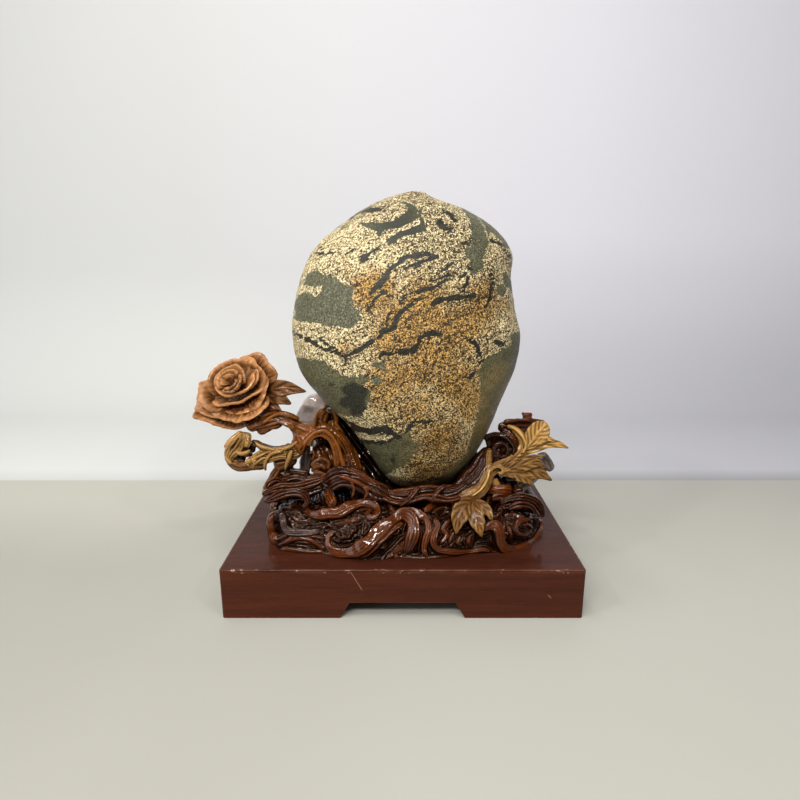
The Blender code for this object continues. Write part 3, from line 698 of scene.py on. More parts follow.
def plinth_finish():
    """Red-brown stain with long straight figure, rubbed pale along its edges."""
    material, net, shader, spot = new_material(
        "stained plinth wood", Coat_Weight=.4, Coat_Roughness=.1, Coat_IOR=1.26,
        Specular_IOR_Level=.05)
    figure = net.group(GRAIN, Vector=spot, Stretch=(1, 16, 16), Scale=14.0)
    film = net.group(FILM, Vector=spot, Ripple_Size=.012, Gloss=.34, Spread=.14)
    base = net.mix(figure["Figure"], (.04, .01, .0046), (.09, .0222, .0102))
    base = net.mix(figure["Pores"] * .6, base, (.016, .004, .002))
    chips = net.steps(net.noise(spot, 130.0, rough=.7), .6, .66)
    worn = net.own("wear") * net.steps(net.noise(spot, 45.0), .4, .62, .25, 1.0)
    base = net.mix(worn * .22, base, (.35, .16, .1))
    base = net.mix(net.own("wear") * chips, base, (.48, .33, .22))
    # the board's top face is painted darker: a painted reflection of the dark carving above it
    level = net.add("ShaderNodeSeparateXYZ", spot)["Z"]
    upper = net.steps(level, (PLINTH_TOP - 1.0) * MM, (PLINTH_TOP - .2) * MM)
    base = net.mix(upper * .35, base, (.012, .004, .003))
    for start, end, half_width in SCRATCHES:
        scratch = near_segment(net, spot, place(at(*start, SCRATCH_DEPTH)),
                               place(at(*end, SCRATCH_DEPTH)), half_width * MM)
        base = net.mix(scratch * .55, base, (.45, .3, .22))
    pores = net.bump(figure["Figure"] - figure["Pores"], .0003, .3)
    net.fill(shader, Base_Color=base, Roughness=film["Roughness"],
             Normal=net.bump(film["Height"], .0012, .25, pores))
    return material, "plinth_wood"


PLINTH_WOOD = plinth_finish()


def plinth_outline(inset):
    """A rounded rectangle, counter-clockwise, inset from the plinth's faces."""
    radius = max(CORNER_ROUND - inset, .4)
    half = PLINTH_HALF - inset
    points = []
    for quarter, corner in enumerate(((-1, -1), (1, -1), (1, 1), (-1, 1))):
        centre = np.array(corner) * (half - radius)
        for step in range(CORNER_STEPS + 1):
            angle = pi + (quarter + step / CORNER_STEPS) * pi / 2
            points.append(centre + radius * np.array((cos(angle), sin(angle))))
    return points


def build_plinth_piece(name, node, rings, turn=0):
    """A closed solid skinned over rings of (x, y, height, wear), turned in plan."""
    c, s = cos(radians(turn)), sin(radians(turn))
    bm = bmesh.new()
    wear = bm.verts.layers.float.new("wear")
    skinned = []
    for ring in rings:
        verts = []
        for x, y, height, worn in ring:
            verts.append(bm.verts.new(place((x * c - y * s, x * s + y * c, height))))
            verts[-1][wear] = worn
        skinned.append(verts)
    for low, high in zip(skinned[:-1], skinned[1:]):
        for j in range(len(low)):
            k = (j + 1) % len(low)
            bm.faces.new((low[j], low[k], high[k], high[j]))
    bm.faces.new(skinned[0][::-1])
    bm.faces.new(skinned[-1])
    bmesh.ops.recalc_face_normals(bm, faces=bm.faces[:])
    mesh = bpy.data.meshes.new(name)
    bm.to_mesh(mesh)
    bm.free()
    show_mesh(name, mesh, PLINTH_WOOD, node)
    mesh.set_sharp_from_angle(angle=SHARP_CORNER)


def build_board():
    """The top board: mitred below, its upper edge rounded over."""
    levels = [(BOARD_THICKNESS, PLINTH_TOP - BOARD_THICKNESS, 0.0),
              (EDGE_ROUND + SEAM, PLINTH_TOP - EDGE_ROUND - SEAM, .3),
              (0.0, PLINTH_TOP - EDGE_ROUND, .4)]
    for step in range(1, EDGE_STEPS + 1):
        angle = step / EDGE_STEPS * pi / 2
        levels.append((EDGE_ROUND * (1 - cos(angle)),
                       PLINTH_TOP - EDGE_ROUND * (1 - sin(angle)), 1.0))
    levels += [(EDGE_ROUND + .5, PLINTH_TOP, .2), (EDGE_ROUND + RUBBED_EDGE, PLINTH_TOP, 0.0)]
    build_plinth_piece("plinth_top_board", "plinth_board", [
        [(x, y, height, worn) for x, y in plinth_outline(inset)]
        for inset, height, worn in levels])


def build_rail(side, turn):
    """One rail from mitre to mitre, with its low cut-out and rounded ends."""
    length, depth = PLINTH_HALF if side in ("front", "back") else PLINTH_HALF[::-1]
    foot = CUTOUT_WIDTHS[side] / 2
    top = foot - CUTOUT_SLOPE
    corner = []
    for angle in np.linspace(0, pi / 4, 4):
        corner.append((length - CORNER_ROUND + CORNER_ROUND * sin(angle),
                       CORNER_ROUND * (1 - cos(angle))))
    stations = [(-x, recess) for x, recess in corner[::-1]]
    stations += [(-foot - .01, 0.0), (-top, 0.0), (top, 0.0), (foot + .01, 0.0)]
    under = PLINTH_TOP - BOARD_THICKNESS - SEAM
    high = PLINTH_TOP - EDGE_ROUND - 2 * SEAM
    rings = []
    for x, recess in stations + corner:
        cut = CUTOUT_HEIGHT if abs(x) <= top else 0.0
        ring = []
        for inset, height, worn in ((recess, cut, .5), (recess, cut + FOOT_EDGE, 0.0),
                                    (recess, high - RUBBED_EDGE, 0.0), (recess, high, .8),
                                    (BOARD_THICKNESS, under, 0.0), (RAIL_THICKNESS, under, 0.0),
                                    (RAIL_THICKNESS, cut, 0.0)):
            limit = length - SEAM / 2 - inset
            ring.append((max(-limit, min(limit, x)), -depth + inset, height, worn))
        rings.append(ring)
    build_plinth_piece(f"plinth_{side}_rail", f"plinth_rail_{side}", rings, turn)


build_board()
for rail_side, rail_turn in (("front", 0), ("right", 90), ("back", 180), ("left", 270)):
    build_rail(rail_side, rail_turn)


# ---- stone
STONE_STATIONS = (
    (80, 28, 40, 2, 14), (86, 16, 48, -9, 26), (98, -12, 61, -33, 41), (115, -26, 74, -54, 55),
    (145, -42, 90, -76, 72), (165, -54, 99, -86, 80), (180, -66, 105, -92, 85), (194, -80, 110, -95, 88),
    (210, -94, 117, -97, 92), (235, -111, 127, -99, 96), (270, -117, 131, -97, 98),
    (300, -115, 123, -91, 96), (330, -107, 119, -82, 90), (355, -96, 119, -70, 82),
    (378, -72, 102, -55, 68), (398, -43, 70, -37, 48), (410, -15, 36, -20, 30), (417, 6, 23, -6, 14),
)
STONE_SQUARENESS = 2.25
STONE_SKEW = .1
STONE_ROWS = 318
STONE_COLUMNS = 312
FRONT_CROWDING = .5  # columns lie closer together on the front
STONE_MIDDLE = np.array((5.0, 0.0, 240.0))


def stone_grid():
    rows = smooth_path(STONE_STATIONS, 24)
    girth = np.abs(np.gradient(rows[:, 2] - rows[:, 1])) / 2
    run = np.cumsum(np.hypot(np.gradient(rows[:, 0]), girth))
    stops = np.linspace(run[0], run[-1], STONE_ROWS)
    z, left, right, front, back = (column[:, None] for column in at_stops(rows, run, stops).T)
    turn = np.linspace(-pi, pi, STONE_COLUMNS, endpoint=False)
    angle = (-pi / 2 + turn - FRONT_CROWDING * np.sin(turn))[None, :]
    across = np.copysign(np.abs(np.cos(angle)) ** (2 / STONE_SQUARENESS), np.cos(angle))
    along = np.copysign(np.abs(np.sin(angle)) ** (2 / STONE_SQUARENESS), np.sin(angle))
    swell = 1 + .012 * np.sin(3 * angle + z * .021) * np.sin(z * .017)
    half_x, half_y = (right - left) / 2, (back - front) / 2
    x = (left + right) / 2 + across * half_x
    y = (front + back) / 2 + along * half_y * swell + STONE_SKEW * across * half_x
    return np.stack((x, y, z + 0 * x), axis=-1)


# Dark rock seen on the stone, traced in the 800 px frame.
DARK_ISLANDS = (
    ((303, 284), (306, 277), (310, 272), (317, 270), (324, 274), (332, 278), (336, 276), (340, 281),
     (344, 285), (350, 286), (357, 288), (353, 291), (352, 297), (353, 303), (356, 309), (360, 314),
     (364, 318), (360, 321), (355, 325), (350, 329), (343, 328), (334, 326), (320, 324), (303, 322),
     (294, 319), (296, 312), (293, 305), (298, 296), (303, 292), (310, 293), (316, 296), (322, 291),
     (322, 286), (313, 287)),
    ((355, 221), (362, 223), (372, 222), (385, 223), (394, 221), (400, 217), (405, 213), (408, 209),
     (406, 205), (402, 202), (410, 203), (417, 207), (418, 214), (421, 218), (416, 220), (412, 222),
     (405, 226), (398, 229), (392, 229), (385, 231), (380, 236), (374, 242), (379, 237), (376, 232),
     (372, 230), (365, 228)),
    ((418, 208), (424, 207), (421, 216), (425, 222), (427, 229), (422, 232), (415, 235), (405, 237),
     (398, 239), (393, 243), (389, 247), (387, 240), (390, 236), (397, 233), (404, 230), (412, 228),
     (420, 224)), ((372, 366), (376, 361), (391, 359), (384, 364), (387, 375), (380, 369)),
    ((370, 378), (376, 376), (382, 379), (380, 384), (372, 384)),
    ((502, 273), (506, 272), (511, 280), (516, 290), (512, 294), (503, 280)),
    ((497, 285), (504, 284), (507, 290), (503, 297), (497, 295)),
    ((450, 202), (461, 208), (469, 219), (471, 232), (471, 245), (463, 251), (469, 259), (471, 270),
     (470, 277), (475, 274), (485, 267), (483, 259), (486, 250), (489, 242), (487, 236), (484, 226),
     (476, 214), (464, 204)),
)
# Thin dark veins: half width in px, then the line they follow.
DARK_VEINS = (
    (1.3, ((350, 217), (358, 213), (367, 210), (380, 210))), (2.6, ((362, 259), (366, 257))),
    (1.0, ((366, 256), (372, 251), (380, 246))), (.9, ((320, 248), (330, 250))),
    (.9, ((314, 253.5), (335, 253))), (.9, ((345, 256), (353, 250))), (1.2, ((330, 232), (338, 226))),
    (1.1, ((342, 228), (345, 226))),
    (2.3, ((373, 290), (378, 285), (384, 279), (389, 271), (394, 266), (399, 262), (405, 258), (412, 255),
     (420, 256), (428, 254))),
    (1.8, ((404, 268), (411, 266), (417, 265), (424, 262), (430, 259), (437, 257))),
    (1.3, ((367, 311), (373, 302), (380, 294))), (1.6, ((382, 291), (388, 296))),
    (1.9, ((378, 337), (384, 331), (389, 330), (394, 327), (398, 316), (402, 312), (408, 308), (412, 304))),
    (1.1, ((386, 325), (388, 318), (391, 312))),
    (1.7, ((400, 303), (405, 297), (412, 292), (420, 291), (430, 289), (440, 284), (447, 280))),
    (1.2, ((415, 300), (425, 297), (433, 293), (440, 288))), (1.1, ((430, 281), (449, 276))),
    (1.0, ((291, 330), (297, 335), (302, 338))),
    (1.5, ((305, 338), (315, 344), (325, 350), (335, 352), (345, 356))),
    (1.2, ((318, 338), (328, 345), (342, 352))),
    (1.7, ((345, 357), (350, 354), (358, 350), (363, 347), (373, 341))),
    (2.1, ((380, 358), (382, 353), (390, 354), (400, 352), (408, 351), (414, 350), (417, 345), (420, 340),
     (424, 336), (430, 333), (440, 334))),
    (1.5, ((405, 433), (410, 428), (411, 425), (415, 421), (424, 422), (431, 421))),
    (3.0, ((353, 427), (362, 430), (372, 432), (379, 431))), (3.2, ((385, 429), (392, 433), (397, 437))),
    (1.5, ((343, 420), (351, 424), (360, 430))), (1.6, ((362, 441), (375, 443), (388, 442), (397, 437))),
    (1.2, ((492, 240), (500, 244), (510, 258))), (2.4, ((440, 223), (446, 228), (450, 230))),
    (1.6, ((443, 210), (450, 214), (455, 221))), (1.1, ((462, 243), (472, 241))),
    (1.1, ((442, 271), (452, 263))), (1.1, ((461, 278), (470, 268))), (1.3, ((463, 291), (468, 278))),
    (1.9, ((432, 305), (440, 298), (452, 298), (462, 297), (473, 295))),
    (1.6, ((490, 275), (492, 283), (489, 300), (486, 306))), (1.9, ((470, 341), (475, 344), (480, 354))),
    (2.2, ((496, 342), (503, 344))), (1.2, ((470, 378), (476, 368), (482, 360))),
)
# Finer green-grey rock, whose shores are softer.
GREEN_FLANKS = (
    ((270, 330), (291, 356), (297, 357), (312, 360), (324, 360), (334, 370), (340, 375), (347, 377),
     (355, 376), (370, 376), (368, 381), (362, 385), (371, 391), (370, 402), (366, 410), (360, 419),
     (349, 416), (338, 414), (300, 440), (270, 400)),
    ((340, 440), (356, 438), (365, 441), (383, 442), (392, 440), (402, 434), (405, 431), (410, 432),
     (414, 441), (424, 444), (416, 452), (409, 462), (397, 468), (389, 474), (383, 476), (370, 500),
     (330, 470)),
    ((545, 325), (520, 330), (511, 335), (510, 345), (498, 352), (484, 358), (478, 370), (480, 388),
     (480, 400), (476, 415), (475, 425), (470, 440), (469, 450), (466, 457), (452, 467), (438, 478),
     (425, 500), (540, 500)),
    ((446, 196), (455, 203), (464, 204), (476, 214), (484, 226), (487, 236), (492, 233), (500, 241),
     (507, 250), (530, 240), (500, 190)),
)
# Rust stain and pale feldspar: centre and reach in px, then strength.
RUST_SPOTS = (
    (372, 292, 26, .9), (400, 330, 34, .95), (428, 312, 36, .9), (455, 325, 40, .8), (480, 305, 26, .7),
    (395, 378, 30, .8), (425, 360, 40, .75), (455, 385, 38, .7), (420, 410, 34, .7), (350, 345, 18, .5),
    (470, 400, 24, .8), (440, 440, 36, .7), (424, 472, 28, .7), (448, 475, 26, .7), (390, 404, 28, .5),
    (420, 432, 28, .45), (505, 385, 26, .8), (495, 430, 30, .7), (470, 470, 24, .6),
)
# Near-black clouding in the green flanks.
SHADE_SPOTS = (
    (357, 396, 15, 1.0), (352, 390, 12, .9), (360, 408, 12, .9), (346, 402, 12, .8), (366, 432, 8, .9),
    (380, 434, 8, .95), (391, 434, 7, .9), (330, 384, 8, .5), (372, 452, 9, .5), (392, 458, 8, .45),
    (340, 424, 9, .6), (395, 226, 34, 1.0), (410, 236, 30, 1.0), (325, 300, 30, .15), (478, 245, 30, .2),
)
SPECK_SPOTS = (
    (430, 240, 40, 1.0), (470, 310, 34, .7), (440, 370, 36, .4), (480, 265, 30, .9), (460, 235, 30, 1.1),
    (410, 415, 40, .3), (420, 205, 40, 1.0), (440, 460, 40, .5), (395, 200, 30, .8), (400, 330, 40, .3),
    (370, 205, 26, .5),
)
BAND_NORMAL = (-.42, .1, .9)
BAND_SQUEEZE = 5.0  # how much thinner the layers are than they are long
PX_PER_MM = .92  # on the stone's near face
SHORE_REACH = 12.0  # px over which a shore's distance is kept


def segment_distance(spots, start, end):
    way = np.subtract(end, start)
    along = np.clip(((spots - start) @ way) / max(way @ way, 1e-6), 0, 1)
    return np.linalg.norm(spots - start - along[:, None] * way, axis=1)


def shore_distance(spots, outline):
    """Distance to a closed outline, negative inside it."""
    nearest = np.full(len(spots), SHORE_REACH)
    inside = np.zeros(len(spots), bool)
    for start, end in zip(outline, outline[1:] + outline[:1]):
        nearest = np.minimum(nearest, segment_distance(spots, start, end))
        crosses = (spots[:, 1] < start[1]) != (spots[:, 1] < end[1])
        rise = (end[1] - start[1]) or 1e-6
        level = start[0] + (spots[:, 1] - start[1]) * (end[0] - start[0]) / rise
        inside ^= crosses & (spots[:, 0] < level)
    return np.where(inside, -nearest, nearest)


def near_shape(spots, shape, margin):
    low, high = np.min(shape, axis=0) - margin, np.max(shape, axis=0) + margin
    return np.all((spots > low) & (spots < high), axis=1)


def dark_field(spots, islands, veins):
    field = np.full(len(spots), SHORE_REACH)
    for outline in islands:
        near = near_shape(spots, outline, SHORE_REACH)
        field[near] = np.minimum(field[near], shore_distance(spots[near], outline))
    for half_width, line in veins:
        near = near_shape(spots, line, SHORE_REACH)
        for start, end in zip(line[:-1], line[1:]):
            gap = segment_distance(spots[near], start, end) - 1.25 * half_width
            field[near] = np.minimum(field[near], gap)
    return field


def soft_spots(spots, table):
    total = np.zeros(len(spots))
    for u, v, reach, strength in table:
        away = np.hypot(spots[:, 0] - u, spots[:, 1] - v) / reach
        total = np.maximum(total, strength * np.exp(-away ** 2))
    return total


def marked_spots(points):
    """Frame points that the stone's markings are read from.

    Round the back the layers drift, so that the far side is patterned in its own way.
    """
    spots = seen_at(points)
    behind = np.clip((points[:, 1] - 5) / 90, 0, 1)
    behind = (behind * behind * (3 - 2 * behind))[:, None]
    drift = np.stack((wavy(points, 70, 3), wavy(points, 60, 5)), axis=1)
    return spots + behind * (drift * 42 + (16, -10))


def build_stone():
    grid = stone_grid()
    rows, columns = grid.shape[:2]
    points = grid.reshape(-1, 3)
    spots = marked_spots(points)
    masks = {"dark": dark_field(spots, DARK_ISLANDS, ()) / PX_PER_MM,
             "vein": dark_field(spots, (), DARK_VEINS) / PX_PER_MM,
             "green": dark_field(spots, GREEN_FLANKS, ()) / PX_PER_MM,
             "shade": soft_spots(spots, SHADE_SPOTS), "rust": soft_spots(spots, RUST_SPOTS),
             "specks": soft_spots(spots, SPECK_SPOTS)}
    foot, crown = points[:columns].mean(axis=0), points[-columns:].mean(axis=0)
    poles = np.array((foot - (0, 0, .6), crown + (0, 0, .8)))
    away = points - STONE_MIDDLE
    away /= np.linalg.norm(away, axis=1)[:, None]
    lumps = (.9 * wavy(points, 34, 1) + .45 * wavy(points, 11, 2) + .22 * wavy(points, 4.5, 4))
    shore = np.minimum(np.minimum(masks["dark"], masks["vein"]), masks["green"])
    points = points + away * (lumps * (.45 + .55 * np.clip(shore / 3, 0, 1)))[:, None]
    faces = ring_faces(rows, columns)
    low, high = rows * columns, rows * columns + 1
    last = (rows - 1) * columns
    for j in range(columns):
        k = (j + 1) % columns
        faces.append((low, k, j))
        faces.append((high, last + j, last + k))
    mesh = bpy.data.meshes.new("viewing_stone")
    mesh.from_pydata(place(np.vstack((points, poles))).tolist(), [], faces)
    for name, values in masks.items():
        write(mesh, name, np.concatenate((values, values[:1], values[-1:])))
    show_mesh("viewing_stone", mesh, (granite_finish(), "banded_granite"), "stone")


def layers(net, spot, scale, detail=2.0, distortion=0.0):
    """Noise drawn out along the rock's layers, which climb to the right."""
    across = net.vector("DOT_PRODUCT", spot, BAND_NORMAL)["Value"]
    pressed = net.scaled(BAND_NORMAL, across * BAND_SQUEEZE)
    return net.noise(net.vector("ADD", spot, pressed), scale, detail=detail,
                     distortion=distortion)


def granite_finish():
    """Cream and rusty granite full of black mica, crossed by dark green-grey rock."""
    material, net, shader, spot = new_material("banded granite", Specular_IOR_Level=.22)
    jitter = net.noise(spot, 520.0, detail=2.0)["Color"]
    shaken = net.vector("ADD", spot, net.scaled(
        net.vector("SUBTRACT", jitter, (.5, .5, .5)), .001))
    cells = net.add("ShaderNodeTexVoronoi", named={"Vector": shaken, "Scale": 820.0})
    grains = net.add("ShaderNodeSeparateColor", cells["Color"])
    fine = net.add("ShaderNodeTexVoronoi", named={"Vector": shaken, "Scale": 1180.0})
    fine_grains = net.add("ShaderNodeSeparateColor", fine["Color"])

    # pale granite: feldspar, rusty feldspar, quartz and black mica
    patch = net.noise(spot, 38.0)
    rust = net.math("ADD", net.own("rust"), (patch - .5) * .9, clamp=True)
    light = grains[0] * .6 + fine_grains[0] * .4
    cream = net.mix(net.steps(light, .1, .75), (.26, .18, .075), (.93, .79, .47))
    ochre = net.mix(net.steps(light, .1, .8), (.1, .042, .009), (.7, .42, .125))
    pale = net.mix(net.steps(rust, .05, .75), cream, ochre)
    quartz = net.steps(grains[1], .88, .9)
    pale = net.mix(quartz * .6, pale, (.24, .2, .12))
    crowd = .185 + net.own("specks") * .2 + rust * .06
    crowd = crowd + (net.noise(spot, 60.0, detail=2.0) - .5) * .3
    crowd = crowd + net.steps(layers(net, spot, 32.0, 3.0, .8), .54, .7) * .32
    mica = net.math("LESS_THAN", grains[2], crowd)
    pale = net.mix(mica * .97, pale, (.01, .008, .005))
    brown = net.math("LESS_THAN", fine_grains[1], crowd + .02)
    pale = net.mix(brown * .8, pale, (.06, .034, .012))

    # fine dark rock, its greener flanks and the near-black veins
    pepper = net.mix(fine_grains[0], (.026, .025, .015), (.145, .14, .08))
    warm_moss = net.mix(fine_grains[0], (.085, .06, .018), (.29, .21, .085))
    moss = net.mix(fine_grains[0], (.03, .03, .015), (.16, .15, .078))
    moss = net.mix(net.steps(net.own("rust"), .1, .7), moss, warm_moss)
    glint = net.math("GREATER_THAN", fine_grains[2], .86)
    pepper = net.mix(glint * .5, pepper, (.36, .35, .23))
    pepper = net.mix(net.own("shade"), pepper, (.028, .029, .02))
    moss = net.mix(glint * .5, moss, (.34, .3, .16))
    black = net.mix(fine_grains[0], (.004, .004, .003), (.034, .034, .026))
    clouds = net.own("shade") + (net.noise(spot, 90.0) - .5) * 1.1
    grey_moss = net.mix(fine_grains[0], (.03, .032, .017), (.14, .14, .08))
    moss = net.mix(net.steps(patch, .4, .75, 0.0, .7), moss, grey_moss)
    streaks = net.steps(layers(net, spot, 110.0, 3.0, 1.2), .42, .6)
    moss = net.mix(streaks * .3, moss, black)
    moss = net.mix(net.steps(clouds, .35, .65) * .9, moss, black)

    # each kind of rock ends along the grains, in mm from its shore
    ragged = (grains[0] - .5) * 1.6 + (net.noise(spot, 140.0, detail=2.0) - .5) * 4.0
    pinch = (net.noise(spot, 75.0, detail=2.0) - .47) * 5.5
    slivers = (layers(net, spot, 95.0) - .5) * 9.0
    in_green = net.steps(net.own("green") + ragged * 1.5, .5, -.5)
    in_dark = net.steps(net.own("dark") + ragged, .35, -.35)
    in_vein = net.steps(net.own("vein") + pinch + ragged * .5 + slivers, .4, -.1)
    colour = net.mix(in_green, pale, moss)
    colour = net.mix(in_dark, colour, pepper)
    colour = net.mix(in_vein * .98, colour, black)

    smooth_rock = net.math("MAXIMUM", net.math("MAXIMUM", in_green, in_dark), in_vein)
    rough = net.steps(smooth_rock, 0.0, 1.0, .62, .5, smooth=False) - mica * .2
    pits = cells["Distance"] * net.steps(smooth_rock, 0.0, 1.0, 1.0, .3, smooth=False)
    worn = net.bump(net.noise(spot, 420.0, rough=.6), .0008, .6)
    net.fill(shader, Base_Color=colour, Roughness=rough,
             Normal=net.bump(pits, -.0007, .7, worn))
    return material


build_stone()


# ---- carved pieces
GROUND_DEPTH = 2.5  # the mound's skin below its nominal height
BEDDED = .75  # a scroll's middle lies this share of its radius above that
BROAD = 3  # a scroll of a greater radius in mm is swept as a strand


def seen(ridges, tint, points, groove=.28, flat=1.0):
    """A strand from frame points with their depth and radius: (u, v, y, radius)."""
    return solid(ridges, tint, [(*at(u, v, y), radius) for u, v, y, radius in points],
                 groove, flat)


def solid(ridges, tint, points, groove=.28, flat=1.0, facing=(0, -1, .35)):
    """A strand from points in mm with their radius: (x, y, z, radius)."""
    return points, ridges, groove, flat, tint, facing


def mound_strand(ridges, tint, points):
    """A scroll lying on the mound, from frame points and radii: (u, v, radius)."""
    ridges += ridges > 1
    rows = []
    for u, v, radius in points:
        rows.append((*on_mound(u, v, BEDDED * radius - GROUND_DEPTH), radius))
    return rows, ridges, .3, .9, tint, None


